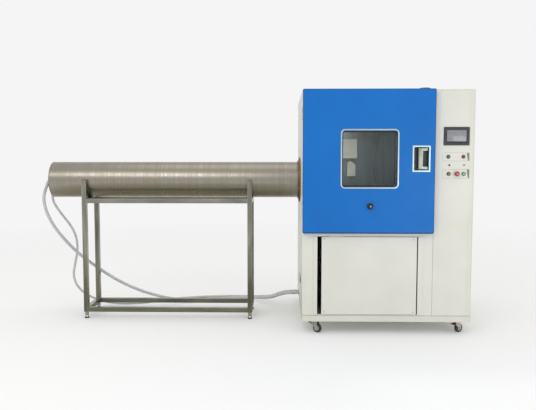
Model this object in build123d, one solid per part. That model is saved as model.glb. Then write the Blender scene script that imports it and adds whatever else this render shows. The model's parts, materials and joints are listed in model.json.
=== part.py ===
from build123d import *
import math
import os

os.makedirs("parts", exist_ok=True)

# Jet spray test chamber: a wheeled cabinet with a long nozzle tube on its own stand.
# Millimetres, +Z up. The model is drawn from the lower front left corner of the door's front plane,
# X to the right and Y to the back, and is moved at the end so that its origin is at its bottom centre.

# Cabinet shell
CABINET_WIDTH = 1378.0
CABINET_TOP = 1980.0
BODY_DEPTH = 1335.0
COLUMN_WIDTH = 326.0
COLUMN_LEFT = CABINET_WIDTH - COLUMN_WIDTH
COLUMN_CORNER = 37.0
COLUMN_FOLD = 8.0
SHEET = 2.0
CASTER_HEIGHT = 102.0
PLINTH_HEIGHT = 49.0
PLINTH_MEMBER = 60.0
PLINTH_BAYS = 4
DECK_THICKNESS = 4.0
DECK_INSET = 6.0

# Main door
DOOR_STANDOFF = 50.0
DOOR_DEPTH = 44.0
DOOR_BOTTOM = 832.0
DOOR_GAP = 5.0
DOOR_CORNER = 10.0
PLUG_DEPTH = 53.0
PLUG_CLEARANCE = 12.0
SEAL_WIDTH = 20.0
SEAL_INSET = 25.0
SEAL_GAP = 0.3

# Window in the door
WINDOW_LEFT = 312.0
WINDOW_MARGIN = 303.0
WINDOW_WIDTH = COLUMN_LEFT - WINDOW_MARGIN - WINDOW_LEFT
WINDOW_BOTTOM = 1205.0
WINDOW_HEIGHT = 447.0
WINDOW_CORNER = 22.0
SLEEVE_WALL = 3.0
TRIM_WIDTH = 13.0
TRIM_PROUD = 3.0
PANE = 6.0
PANE_SETBACK = 4.0

# Recessed handle
RECESS_MARGIN = 173.0
RECESS_LEFT = COLUMN_LEFT - RECESS_MARGIN
RECESS_WIDTH = 117.0
RECESS_BOTTOM = 1338.0
RECESS_HEIGHT = 185.0
RECESS_DEPTH = 36.0
RECESS_WALL = 2.0
RECESS_TRIM = 13.0
LEVER_GRIP_OFFSET = 36.0
LEVER_GRIP_WIDTH = 38.0
LEVER_ARM = 24.0
LEVER_END_GAP = 7.0
LEVER_THICKNESS = 12.0
LEVER_FRONT = 5.0
LEVER_PIVOT_INSET = 11.0
LEVER_HUB = 7.0
LEVER_PIN = 4.0

# Window wiper
WIPER_OFFSET = 7.5
WIPER_X = WINDOW_LEFT + WINDOW_WIDTH / 2 + WIPER_OFFSET
WIPER_BELOW_WINDOW = 154.0
WIPER_SHAFT = 6.0
KNOB_CORE = 17.0
KNOB_LOBE = 9.0
KNOB_HEIGHT = 24.0
KNOB_SKIRT = 4.0
WIPER_END_SPACE = 52.0
WIPER_HUB = 12.0
WIPER_ARM_WIDTH = 14.0
WIPER_ARM_THICKNESS = 6.0
BLADE_LENGTH = 300.0
BLADE_WIDTH = 6.0
BLADE_HEIGHT = 8.0

# Fits
RUNNING = 0.06
SOFT_GAP = 0.3
SEAT_GAP = 0.1

# Door hinges
HINGE_HEIGHTS = (990.0, 1740.0)
HINGE_LENGTH = 90.0
HINGE_BARREL = 8.0
HINGE_PIN = 4.0
HINGE_LEAF = 3.0
HINGE_LEAF_WIDTH = 48.0
HINGE_SIDE = 9.0
HINGE_DEPTH = 42.0

# Chamber
CHAMBER_LEFT = 60.0
CHAMBER_MARGIN = 62.0
CHAMBER_WIDTH = COLUMN_LEFT - CHAMBER_MARGIN - CHAMBER_LEFT
CHAMBER_FLOOR = 905.0
ROOF_SPACE = 80.0
REAR_SPACE = 83.0
CHAMBER_HEIGHT = CABINET_TOP - ROOF_SPACE - CHAMBER_FLOOR
CHAMBER_DEPTH = BODY_DEPTH - SHEET - REAR_SPACE
LINER_FLANGE = 18.0
FLOOR_DRAIN = 22.0

# Lower compartment and its service door
LOWER_LEFT = 122.0
LOWER_MARGIN = 117.0
LOWER_RIGHT = COLUMN_LEFT - LOWER_MARGIN
LOWER_SILL = 6.0
LOWER_TOP = 802.0
LOWER_FLANGE = 25.0
EDGE_STRIP = 28.0
EDGE_STRIP_RIGHT = 37.0
EDGE_PROUD = 6.0
FINGER_GAP = 35.0
HINGE_GAP = 10.0
PANEL_GAP = 3.0
PANEL_DEPTH = 20.0
PANEL_PIVOT_INSET = 8.0
PANEL_PIVOT_DEPTH = 13.0
PANEL_PIN = 4.0

# Control column
SCREEN_X = COLUMN_LEFT + 172.5
SCREEN_Z = 1609.0
BEZEL_WIDTH = 205.0
BEZEL_HEIGHT = 146.0
BEZEL_PROUD = 6.0
GLASS_WIDTH = 156.0
GLASS_HEIGHT = 91.0
GLASS_RAISE = 1.0
LAMP_ROW = 1446.0
LAMP_XS = (SCREEN_X - 62.5, SCREEN_X + 57.5)
LAMP_RADIUS = 14.5
LAMP_PROUD = 10.0
LED_ROW = 1378.5
LED_XS = (SCREEN_X - 53.0, SCREEN_X + 65.0)
LED_RADIUS = 4.0
BUTTON_ROW = 1309.0
STOP_X = SCREEN_X - 58.0
ESTOP_X = SCREEN_X + 4.5
START_X = SCREEN_X + 61.5
BEZEL_RING = 15.0
BUTTON_CAP = 11.0
BUTTON_STEM = 6.0
BUTTON_TRAVEL = 4.0
BARREL_RADIUS = 11.0
BARREL_LENGTH = 42.0
ESTOP_HEAD = 20.0
ESTOP_TRAVEL = 5.0

# Nozzle tube
TUBE_RADIUS = 160.0
TUBE_WALL = 2.0
TUBE_REACH = 2249.0
TUBE_DEPTH = 700.0
TUBE_AXIS = 1240.0
FLANGE_RADIUS = 201.0
FLANGE_THICKNESS = 14.0
FLANGE_HUB = 6.0
FLANGE_HUB_LENGTH = 12.0
END_PLATE = 3.0
LARGE_NOZZLE_BORE = 12.5
SMALL_NOZZLE_BORE = 6.3
NOZZLE_BODY = 17.0
NOZZLE_LENGTH = 90.0
NOZZLE_STUB = 20.0
SMALL_NOZZLE_OFFSET = (75.0, -80.0)
ELBOW_BEND = 30.0
ELBOW_LEG = 34.0

# Stand under the tube
POST = 40.0
POST_WALL = 2.5
POST_CLEARANCE = 2.0
STAND_LEFT = -1919.0
STAND_RIGHT = -450.0
FOOT_HEIGHT = 60.0
FOOT_RADIUS = 16.5
FOOT_PAD = 12.0
FOOT_STEM = 8.0
POST_CAP = 5.0
SADDLE_THICKNESS = 3.0
SADDLE_HALF_ANGLE = 52.0

# Casters
WHEEL_RADIUS = 37.5
WHEEL_WIDTH = 28.0
WHEEL_TRAIL = 28.0
CASTER_INSET = 106.0
CASTER_SETBACK = 62.0
CASTER_PLATE = (90.0, 70.0, 4.0)
KINGPIN = 6.0
AXLE = 4.0
FORK_SHEET = 3.0
FORK_GAP = 1.5
PEDAL_PIVOT = (-14.0, 70.0)
PEDAL_PIN = 3.0
CASTER_YAWS = {"front_left": -38.0, "front_right": 35.0, "rear_left": 20.0, "rear_right": -15.0}

# Turntable and its drive
TURNTABLE_RADIUS = 300.0
TURNTABLE_THICKNESS = 8.0
TURNTABLE_RIM = 14.0
TURNTABLE_HEIGHT = 95.0
SHAFT_RADIUS = 15.0
BEARING_RADIUS = 42.0
BEARING_HEIGHT = 55.0
GEARBOX_SIZE = (110.0, 110.0, 70.0)
GEARMOTOR_RADIUS = 45.0
GEARMOTOR_LENGTH = 120.0

# Water circuit
TANK_LEFT = 520.0
TANK_FRONT = 620.0
TANK_MARGIN = 22.0
TANK_SIZE = (COLUMN_LEFT - TANK_MARGIN - TANK_LEFT, 700.0, 485.0)
TANK_WALL = 3.0
TANK_RIM = 15.0
PUMP_FRONT = 400.0
PUMP_AXIS = 300.0
PUMP_HEAD_LEFT = 350.0
PUMP_HEAD_LENGTH = 90.0
PUMP_HEAD_RADIUS = 90.0
MOTOR_RADIUS = 75.0
MOTOR_LENGTH = 240.0
PIPE_RADIUS = 17.0
SMALL_PIPE_RADIUS = 13.5
PIPE_BEND = 40.0
MANIFOLD = (50.0, 620.0, 540.0)
MANIFOLD_SIZE = (80.0, 80.0, 80.0)
VALVE_RADIUS = 18.0
VALVE_LENGTH = 60.0
DRAIN_PIPE = 25.0

# Hoses from the cabinet's left side to the far end of the tube
LARGE_HOSE = 14.0
SMALL_HOSE = 11.0
SPIGOT_DEPTHS = (790.0, 862.0)
SPIGOT_HEIGHT = 180.0
SPIGOT_REACH = 30.0
SPIGOT_LEAD = 85.0
SPIGOT_FLANGE = 22.0
FERRULE_LENGTH = 24.0
FERRULE_WALL = 2.5
LARGE_LEAD = 95.0
SMALL_LEAD = 80.0
FLOOR_REST = 0.3
LARGE_ROUTE = [
    (-2349.0, 696.0, 985.0),
    (-2290.0, 722.0, 825.0),
    (-2190.0, 757.0, 675.0),
    (-2074.0, 812.0, 532.0),
    (-1960.0, 938.0, 398.0),
    (-1800.0, 968.0, 278.0),
    (-1620.0, 986.0, 180.0),
    (-1430.0, 1012.0, 106.0),
    (-1235.0, 1062.0, 50.0),
    (-1030.0, 1140.0, LARGE_HOSE + FLOOR_REST),
    (-830.0, 1235.0, LARGE_HOSE + FLOOR_REST),
    (-640.0, 1292.0, LARGE_HOSE + FLOOR_REST),
    (-455.0, 1262.0, 24.0),
    (-330.0, 1130.0, 52.0),
    (-262.0, 965.0, 95.0),
    (-190.0, 835.0, 150.0),
]
SMALL_ROUTE = [
    (-2272.0, 783.0, 985.0),
    (-2222.0, 806.0, 900.0),
    (-2152.0, 832.0, 800.0),
    (-2116.0, 868.0, 690.0),
    (-2112.0, 888.0, 562.0),
    (-2147.0, 905.0, 430.0),
    (-2176.0, 925.0, 310.0),
    (-2147.0, 942.0, 200.0),
    (-2058.0, 956.0, 112.0),
    (-1946.0, 968.0, 60.0),
    (-1830.0, 1002.0, 24.0),
    (-1700.0, 1037.0, SMALL_HOSE + FLOOR_REST),
    (-1550.0, 1066.0, SMALL_HOSE + FLOOR_REST),
    (-1400.0, 1150.0, SMALL_HOSE + FLOOR_REST),
    (-1230.0, 1262.0, SMALL_HOSE + FLOOR_REST),
    (-1020.0, 1335.0, SMALL_HOSE + FLOOR_REST),
    (-800.0, 1372.0, SMALL_HOSE + FLOOR_REST),
    (-590.0, 1380.0, SMALL_HOSE + FLOOR_REST),
    (-410.0, 1345.0, 18.0),
    (-295.0, 1225.0, 48.0),
    (-235.0, 1070.0, 95.0),
    (-188.0, 922.0, 150.0),
]

# Small things
VENT_AT = (COLUMN_LEFT - 40.0, 250.0)
VENT_RADIUS = 50.0
VENT_HEIGHT = 34.0
VENT_NECK = 30.0
SOCKET_LEFT = CHAMBER_LEFT + 371.0
SOCKET_BOTTOM = 1432.0
SOCKET_SIZE = (151.0, 60.0, 190.0)
OUTLET_LEFT = SOCKET_LEFT + 57.0
OUTLET_BOTTOM = 1257.0
OUTLET_SIZE = (81.0, 30.0, 150.0)
OUTLET_GABLE = 40.0
REAR_REACH = 42.0
INLET_AT = (250.0, 420.0)
INLET_RADIUS = 10.5
DRAIN_AT = (COLUMN_LEFT - 292.0, 240.0)
DRAIN_RADIUS = 20.0
GLAND_AT = (CABINET_WIDTH - 128.0, 640.0)
GLAND_RADIUS = 16.0
GLAND_BORE = 7.5

SLOT_FIELDS = ((COLUMN_LEFT + 68.0, 1500.0, 10), (COLUMN_LEFT + 68.0, 900.0, 8), (330.0, 560.0, 6))

# Switchgear plate on the column's right side
GEAR_FRONT = 420.0
GEAR_DEPTH = 700.0
GEAR_BOTTOM = 860.0
GEAR_HEIGHT = 900.0
GEAR_PLATE = 4.0
GEAR_RAIL = (8.0, 35.0)
GEAR_RAIL_INSET = 30.0
GEAR_BLOCK_INSET = 40.0
GEAR_BLOCK_SPAN = 600.0
GEAR_BLOCK_GAP = 14.0
GEAR_BLOCK_HEIGHT = 110.0
GEAR_ROWS = (
    (740.0, (60.0, 90.0, 60.0)),
    (520.0, (75.0, 75.0)),
    (300.0, (110.0,)),
    (90.0, (50.0, 80.0)),
)

# Places that follow from the sizes
BODY_FRONT = DOOR_STANDOFF
BODY_BACK = BODY_FRONT + BODY_DEPTH
BODY_BOTTOM = CASTER_HEIGHT + PLINTH_HEIGHT + DECK_THICKNESS
DOOR_WIDTH = COLUMN_LEFT - DOOR_GAP
DOOR_HEIGHT = CABINET_TOP - DOOR_BOTTOM
INNER_FRONT = BODY_FRONT + SHEET
CHAMBER_RIGHT = CHAMBER_LEFT + CHAMBER_WIDTH
CHAMBER_TOP = CHAMBER_FLOOR + CHAMBER_HEIGHT
WIPER_REACH = CHAMBER_RIGHT - WIPER_END_SPACE - WIPER_X
CHAMBER_BACK = INNER_FRONT + CHAMBER_DEPTH
PLUG_BACK = DOOR_DEPTH + PLUG_DEPTH
WIPER_Z = WINDOW_BOTTOM - WIPER_BELOW_WINDOW
LOWER_BOTTOM = BODY_BOTTOM + LOWER_SILL
PANEL_LEFT = LOWER_LEFT + FINGER_GAP
PANEL_RIGHT = LOWER_RIGHT - HINGE_GAP
PANEL_BOTTOM = LOWER_BOTTOM + PANEL_GAP
PANEL_TOP = LOWER_TOP - PANEL_GAP
PANEL_FRONT = BODY_FRONT - EDGE_PROUD
PANEL_PIVOT = (PANEL_RIGHT - PANEL_PIVOT_INSET, PANEL_FRONT + PANEL_PIVOT_DEPTH)
LEVER_PIVOT = (RECESS_LEFT + RECESS_WIDTH - LEVER_PIVOT_INSET, LEVER_FRONT + LEVER_THICKNESS / 2)
TURNTABLE_X = CHAMBER_LEFT + CHAMBER_WIDTH / 2
SADDLE_TOP = TUBE_AXIS - TUBE_RADIUS
RAIL_TOP = SADDLE_TOP - SADDLE_THICKNESS
POST_OFFSET = TUBE_RADIUS + POST_CLEARANCE + POST / 2
ROUTE_ENDS = {}


def block(x0, x1, y0, y1, z0, z1):
    """Box between two corners."""
    centre = Pos((x0 + x1) / 2, (y0 + y1) / 2, (z0 + z1) / 2)
    return centre * Box(x1 - x0, y1 - y0, z1 - z0)


def rod(start, direction, radius, length):
    """Round bar from a point along a direction."""
    return extrude(Plane(origin=start, z_dir=direction) * Circle(radius), amount=length)


def pipe(start, direction, outer, inner, length):
    """Round tube from a point along a direction."""
    return rod(start, direction, outer, length) - rod(start, direction, inner, length)


def front_slab(x0, width, z0, height, corner, y0, y1):
    """Rectangle with rounded corners, seen from the front, from y0 back to y1."""
    plane = Plane(origin=(x0 + width / 2, y0, z0 + height / 2), x_dir=(1, 0, 0), z_dir=(0, 1, 0))
    return extrude(plane * RectangleRounded(width, height, corner), amount=y1 - y0)


def upright_corner(shape, x, y, radius):
    """Rounds the upright edge that stands at x, y."""
    edges = [
        edge
        for edge in shape.edges().filter_by(Axis.Z)
        if abs(edge.center().X - x) < 0.01 and abs(edge.center().Y - y) < 0.01
    ]
    return fillet(edges, radius)


def corner_radii(points):
    """Radius of each bend: 0.45 of the shorter run, over the tangent of half the turn."""
    radii = []
    for before, here, after in zip(points, points[1:], points[2:]):
        run_in = Vector(here) - Vector(before)
        run_out = Vector(after) - Vector(here)
        half_turn = math.radians(run_in.get_angle(run_out)) / 2
        radii.append(0.45 * min(run_in.length, run_out.length) / math.tan(half_turn))
    return radii


def swept_bar(points, radius, bends):
    """Round bar along straight runs joined by tangent arcs."""
    path = FilletPolyline(*points, radius=bends)
    direction = Vector(points[1]) - Vector(points[0])
    return sweep(Plane(origin=points[0], z_dir=direction) * Circle(radius), path=path)


def revolved(profile, origin, axis_direction, radial_direction):
    """Turned piece: profile points are (radius, height) along the axis."""
    plane = Plane(origin=origin, x_dir=radial_direction, z_dir=Vector(radial_direction).cross(Vector(axis_direction)))
    face = make_face(plane * Polyline(*profile, close=True))
    return revolve(face, axis=Axis(origin, axis_direction))


# Cabinet shell


def base_frame():
    """Plinth: a welded ring with cross members, under a deck plate set in from its edges."""
    top = CASTER_HEIGHT + PLINTH_HEIGHT
    ring = block(0, CABINET_WIDTH, BODY_FRONT, BODY_BACK, CASTER_HEIGHT, top)
    ring = upright_corner(ring, CABINET_WIDTH, BODY_FRONT, COLUMN_CORNER)
    pitch = (CABINET_WIDTH - PLINTH_MEMBER) / PLINTH_BAYS
    for bay in range(PLINTH_BAYS):
        left = PLINTH_MEMBER + bay * pitch
        ring -= block(
            left,
            left + pitch - PLINTH_MEMBER,
            BODY_FRONT + PLINTH_MEMBER,
            BODY_BACK - PLINTH_MEMBER,
            CASTER_HEIGHT,
            top,
        )
    right = CABINET_WIDTH - DECK_INSET
    front = BODY_FRONT + DECK_INSET
    deck = block(DECK_INSET, right, front, BODY_BACK - DECK_INSET, top, BODY_BOTTOM)
    deck = upright_corner(deck, right, front, COLUMN_CORNER - DECK_INSET)
    return ring + deck


def louvre_bank(x, y0, y1, rows, z0, pitch):
    """Flaps pressed out of the left side, and the slots behind them."""
    flaps = Part()
    slots = Part()
    for row in range(rows):
        z = z0 + row * pitch
        section = Polyline(
            (x, z + 0.62 * pitch),
            (x - 8, z + 2),
            (x - 8, z),
            (x - 6.5, z),
            (x, z + 0.46 * pitch),
            close=True,
        )
        face = make_face(Plane(origin=(0, y0, 0), x_dir=(1, 0, 0), z_dir=(0, -1, 0)) * section)
        flaps += extrude(face, amount=y0 - y1)
        slots += block(x - 1, x + SHEET + 1, y0 + 4, y1 - 4, z, z + 0.4 * pitch)
    return flaps, slots


def left_side_panel():
    """Left side with the tube's hole, the hose holes and two banks of louvres near its foot."""
    panel = block(0, SHEET, INNER_FRONT, BODY_BACK, BODY_BOTTOM, CABINET_TOP - SHEET)
    panel -= rod((-1, TUBE_DEPTH, TUBE_AXIS), (1, 0, 0), TUBE_RADIUS + SEAT_GAP, SHEET + 2)
    for depth, radius in zip(SPIGOT_DEPTHS, (LARGE_HOSE, SMALL_HOSE)):
        panel -= rod((-1, depth, SPIGOT_HEIGHT), (1, 0, 0), radius + SEAT_GAP, SHEET + 2)
    for y0 in (250.0, 560.0, 930.0):
        flaps, slots = louvre_bank(0, y0, y0 + 190, 6, 232, 22)
        panel = panel - slots + flaps
    return panel


def right_side_panel():
    """Right side, rolled round the column's front corner."""
    left = CABINET_WIDTH - COLUMN_CORNER
    top = CABINET_TOP - SHEET
    outer = block(left, CABINET_WIDTH, BODY_FRONT, BODY_BACK, BODY_BOTTOM, top)
    outer = upright_corner(outer, CABINET_WIDTH, BODY_FRONT, COLUMN_CORNER - 0.01)
    inner_right = CABINET_WIDTH - SHEET
    inner = block(left - 1, inner_right, INNER_FRONT, BODY_BACK + 1, BODY_BOTTOM - 1, top + 1)
    inner = upright_corner(inner, inner_right, INNER_FRONT, COLUMN_CORNER - SHEET)
    return outer - inner


def top_cover():
    """Roof sheet with the vent's hole."""
    roof = block(0, CABINET_WIDTH, BODY_FRONT, BODY_BACK, CABINET_TOP - SHEET, CABINET_TOP)
    roof = upright_corner(roof, CABINET_WIDTH, BODY_FRONT, COLUMN_CORNER)
    return roof - rod((*VENT_AT, CABINET_TOP - SHEET - 1), (0, 0, 1), VENT_NECK + SEAT_GAP, SHEET + 2)


def rear_panel():
    """Rear sheet with two fields of slots and the service fittings' holes."""
    panel = block(SHEET, CABINET_WIDTH - SHEET, BODY_BACK - SHEET, BODY_BACK, BODY_BOTTOM, CABINET_TOP - SHEET)
    for x0, z0, rows in SLOT_FIELDS:
        for row in range(rows):
            slot = front_slab(x0, 140, z0 + row * 24, 10, 4.9, BODY_BACK - SHEET - 1, BODY_BACK + 1)
            panel -= slot
    for (x, z), radius in ((INLET_AT, INLET_RADIUS), (DRAIN_AT, DRAIN_RADIUS), (GLAND_AT, GLAND_RADIUS)):
        panel -= rod((x, BODY_BACK - SHEET - 1, z), (0, 1, 0), radius + SEAT_GAP, SHEET + 2)
    return panel


def front_frame():
    """Front sheet round the chamber's mouth and the lower opening, with folded flanges and edge strips."""
    top = CABINET_TOP - SHEET
    frame = block(0, COLUMN_LEFT, BODY_FRONT, INNER_FRONT, BODY_BOTTOM, top)
    frame -= block(CHAMBER_LEFT, CHAMBER_RIGHT, 0, BODY_BACK, CHAMBER_FLOOR, CHAMBER_TOP)
    back = BODY_FRONT + LOWER_FLANGE
    frame += block(
        LOWER_LEFT - SHEET, LOWER_RIGHT + SHEET, INNER_FRONT, back, LOWER_BOTTOM - SHEET, LOWER_TOP + SHEET
    )
    frame += block(LOWER_LEFT - EDGE_STRIP, LOWER_LEFT, PANEL_FRONT, BODY_FRONT, LOWER_BOTTOM, LOWER_TOP)
    frame += block(LOWER_RIGHT, LOWER_RIGHT + EDGE_STRIP_RIGHT, PANEL_FRONT, BODY_FRONT, LOWER_BOTTOM, LOWER_TOP)
    frame -= block(LOWER_LEFT, LOWER_RIGHT, 0, BODY_BACK, LOWER_BOTTOM, LOWER_TOP)
    for z in (LOWER_BOTTOM - SHEET, LOWER_TOP):
        frame -= rod((*PANEL_PIVOT, z - 1), (0, 0, 1), PANEL_PIN + RUNNING, SHEET + 2)
    return frame


def column_panel():
    """Front of the control column, folded at its left edge, with its cut-outs."""
    right = CABINET_WIDTH - COLUMN_CORNER
    top = CABINET_TOP - SHEET
    depth = 3 * COLUMN_FOLD
    outer = block(COLUMN_LEFT, right, BODY_FRONT, BODY_FRONT + depth, BODY_BOTTOM, top)
    outer = upright_corner(outer, COLUMN_LEFT, BODY_FRONT, COLUMN_FOLD)
    inner = block(
        COLUMN_LEFT + SHEET, right + 1, INNER_FRONT, BODY_FRONT + depth + 1, BODY_BOTTOM - 1, top + 1
    )
    inner = upright_corner(inner, COLUMN_LEFT + SHEET, INNER_FRONT, COLUMN_FOLD - SHEET)
    panel = outer - inner
    cut_width, cut_height = BEZEL_WIDTH - 14, BEZEL_HEIGHT - 14
    panel -= block(
        SCREEN_X - cut_width / 2,
        SCREEN_X + cut_width / 2,
        0,
        BODY_FRONT + depth / 2,
        SCREEN_Z - cut_height / 2,
        SCREEN_Z + cut_height / 2,
    )
    holes = [(x, LAMP_ROW, BARREL_RADIUS) for x in LAMP_XS]
    holes += [(x, BUTTON_ROW, BARREL_RADIUS) for x in (STOP_X, ESTOP_X, START_X)]
    holes += [(x, LED_ROW, LED_RADIUS) for x in LED_XS]
    for x, z, radius in holes:
        panel -= rod((x, BODY_FRONT - 1, z), (0, 1, 0), radius + SEAT_GAP, SHEET + 2)
    return panel


def chamber_liner():
    """Stainless liner: an open box with a front flange, the tube's hole, a floor drain and a shaft hole."""
    outer = block(
        CHAMBER_LEFT - SHEET,
        CHAMBER_RIGHT + SHEET,
        INNER_FRONT,
        CHAMBER_BACK + SHEET,
        CHAMBER_FLOOR - SHEET,
        CHAMBER_TOP + SHEET,
    )
    outer += block(
        CHAMBER_LEFT - LINER_FLANGE,
        CHAMBER_RIGHT + LINER_FLANGE,
        INNER_FRONT,
        INNER_FRONT + SHEET,
        CHAMBER_FLOOR - LINER_FLANGE,
        CHAMBER_TOP + LINER_FLANGE,
    )
    inner = block(CHAMBER_LEFT, CHAMBER_RIGHT, 0, CHAMBER_BACK, CHAMBER_FLOOR, CHAMBER_TOP)
    liner = outer - inner
    liner -= rod((0, TUBE_DEPTH, TUBE_AXIS), (1, 0, 0), TUBE_RADIUS + SEAT_GAP, CHAMBER_LEFT + 1)
    under = CHAMBER_FLOOR - SHEET - 1
    liner -= rod((*drain_place(), under), (0, 0, 1), FLOOR_DRAIN, SHEET + 2)
    return liner - rod((TURNTABLE_X, TUBE_DEPTH, under), (0, 0, 1), SHAFT_RADIUS + 1, SHEET + 2)


def drain_place():
    """Floor drain, over the water tank."""
    return (TANK_LEFT + TANK_SIZE[0] - 100, TANK_FRONT + TANK_SIZE[1] - 120)


# Control column


def touch_screen():
    """Operator panel: a bezel with its case behind the column's front, and the glass in it."""
    left, bottom = SCREEN_X - BEZEL_WIDTH / 2, SCREEN_Z - BEZEL_HEIGHT / 2
    front = BODY_FRONT - BEZEL_PROUD
    bezel = front_slab(left, BEZEL_WIDTH, bottom, BEZEL_HEIGHT, 5, front, BODY_FRONT)
    bezel = chamfer(bezel.faces().sort_by(Axis.Y)[0].edges(), 2)
    bezel += block(left + 8, left + BEZEL_WIDTH - 8, BODY_FRONT, BODY_FRONT + 34, bottom + 8, bottom + BEZEL_HEIGHT - 8)
    glass_left, glass_bottom = SCREEN_X - GLASS_WIDTH / 2, SCREEN_Z - GLASS_HEIGHT / 2 + 3
    glass = block(
        glass_left, glass_left + GLASS_WIDTH, front - GLASS_RAISE, front + 2, glass_bottom, glass_bottom + GLASS_HEIGHT
    )
    return Compound(children=[bezel - glass, glass])


def indicator_lamps():
    """Two signal lamps and two small light-emitting diodes."""
    lamps = []
    for x in LAMP_XS:
        profile = [
            (0, -LAMP_PROUD),
            (LAMP_RADIUS * 0.55, -LAMP_PROUD * 0.85),
            (LAMP_RADIUS * 0.82, -LAMP_PROUD * 0.45),
            (LAMP_RADIUS * 0.86, -4),
            (LAMP_RADIUS, -3.4),
            (LAMP_RADIUS, 0),
            (BARREL_RADIUS, 0),
            (BARREL_RADIUS, BARREL_LENGTH),
            (0, BARREL_LENGTH),
        ]
        lamps.append(revolved(profile, (x, BODY_FRONT, LAMP_ROW), (0, 1, 0), (1, 0, 0)))
    for x in LED_XS:
        dome = rod((x, BODY_FRONT - 2.5, LED_ROW), (0, 1, 0), LED_RADIUS, 12)
        lamps.append(fillet(dome.edges().sort_by(Axis.Y)[0], 2))
    return Compound(children=lamps)


def button_bezel(x, height):
    """Round bezel on the column's front with its barrel behind, bored for the button's stem."""
    ring = pipe((x, BODY_FRONT - height, BUTTON_ROW), (0, 1, 0), BEZEL_RING, BUTTON_CAP + SOFT_GAP, height)
    ring = chamfer(ring.edges().sort_by(Axis.Y)[0], 1) if height > 2 else ring
    barrel = rod((x, BODY_FRONT, BUTTON_ROW), (0, 1, 0), BARREL_RADIUS, BARREL_LENGTH)
    lip = pipe((x, BODY_FRONT - 1.5, BUTTON_ROW), (0, 1, 0), BEZEL_RING, BUTTON_STEM + RUNNING, 1.5)
    bore = rod((x, BODY_FRONT - 2, BUTTON_ROW), (0, 1, 0), BUTTON_STEM + RUNNING, BARREL_LENGTH + 4)
    return ring + lip + barrel - bore


def button_bezels():
    """The three bezels: two tall rings round the flat buttons and a low one under the mushroom head."""
    bezels = [button_bezel(STOP_X, 8), button_bezel(START_X, 8), button_bezel(ESTOP_X, 2)]
    return Compound(children=bezels)


def flat_button(x):
    """Flat push button: a cap that stands just proud of its ring, on a stem."""
    front = BODY_FRONT - 11
    cap = rod((x, front, BUTTON_ROW), (0, 1, 0), BUTTON_CAP, 5)
    cap = fillet(cap.edges().sort_by(Axis.Y)[0], 1.2)
    return cap + rod((x, front + 5, BUTTON_ROW), (0, 1, 0), BUTTON_STEM, 33)


def estop_button():
    """Emergency stop: a mushroom head with a waisted skirt, on a stem."""
    profile = [
        (0, -34),
        (ESTOP_HEAD * 0.6, -32.5),
        (ESTOP_HEAD * 0.93, -28.5),
        (ESTOP_HEAD, -25),
        (ESTOP_HEAD * 0.96, -21.5),
        (ESTOP_HEAD * 0.72, -19),
        (ESTOP_HEAD * 0.66, -8),
        (BUTTON_STEM, -8),
        (BUTTON_STEM, 30),
        (0, 30),
    ]
    return revolved(profile, (ESTOP_X, BODY_FRONT, BUTTON_ROW), (0, 1, 0), (1, 0, 0))


def control_box():
    """Mounting plate on the column's right side with rails of switchgear."""
    right = CABINET_WIDTH - SHEET
    rail_face = right - GEAR_PLATE
    gear_face = rail_face - GEAR_RAIL[0]
    plate = block(rail_face, right, GEAR_FRONT, GEAR_FRONT + GEAR_DEPTH, GEAR_BOTTOM, GEAR_BOTTOM + GEAR_HEIGHT)
    rail_front = GEAR_FRONT + GEAR_RAIL_INSET
    rail_back = GEAR_FRONT + GEAR_DEPTH - GEAR_RAIL_INSET
    for rise, depths in GEAR_ROWS:
        z = GEAR_BOTTOM + rise
        rail_low = z + GEAR_BLOCK_HEIGHT / 2 - GEAR_RAIL[1] / 2
        plate += block(gear_face, rail_face, rail_front, rail_back, rail_low, rail_low + GEAR_RAIL[1])
        start = GEAR_FRONT + GEAR_BLOCK_INSET
        for step, depth in enumerate(depths):
            width = GEAR_BLOCK_SPAN / len(depths) - GEAR_BLOCK_GAP
            top = z + GEAR_BLOCK_HEIGHT * (1 - 0.07 * step)
            plate += block(gear_face - depth, gear_face, start, start + width, z, top)
            start += width + GEAR_BLOCK_GAP
    return plate


# Nozzle tube


def spray_tube():
    """Rolled stainless tube from its far end to the chamber's inner wall."""
    return pipe(
        (-TUBE_REACH, TUBE_DEPTH, TUBE_AXIS),
        (1, 0, 0),
        TUBE_RADIUS,
        TUBE_RADIUS - TUBE_WALL,
        TUBE_REACH + CHAMBER_LEFT,
    )


def tube_flange():
    """Round flange with a short hub that closes the tube's hole in the cabinet's side."""
    bore = TUBE_RADIUS + SEAT_GAP
    start = (-FLANGE_THICKNESS, TUBE_DEPTH, TUBE_AXIS)
    ring = pipe(start, (1, 0, 0), FLANGE_RADIUS, bore, FLANGE_THICKNESS)
    ring = chamfer(ring.edges().filter_by(GeomType.CIRCLE).sort_by(SortBy.RADIUS)[-2:], 1.5)
    hub_start = (-FLANGE_THICKNESS - FLANGE_HUB_LENGTH, TUBE_DEPTH, TUBE_AXIS)
    return ring + pipe(hub_start, (1, 0, 0), bore + FLANGE_HUB, bore, FLANGE_HUB_LENGTH)


def nozzle_places():
    """Axis of the large and the small nozzle in the end plate, as depth and height."""
    across, up = SMALL_NOZZLE_OFFSET
    return ((TUBE_DEPTH, TUBE_AXIS), (TUBE_DEPTH + across, TUBE_AXIS + up))


def tube_end_plate():
    """Disc in the tube's far end, bored for the two nozzles."""
    radius = TUBE_RADIUS - TUBE_WALL - SEAT_GAP
    disc = rod((-TUBE_REACH, TUBE_DEPTH, TUBE_AXIS), (1, 0, 0), radius, END_PLATE)
    for y, z in nozzle_places():
        disc -= rod((-TUBE_REACH - 1, y, z), (1, 0, 0), NOZZLE_BODY * 0.8 + SEAT_GAP, END_PLATE + 2)
    return disc


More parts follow.
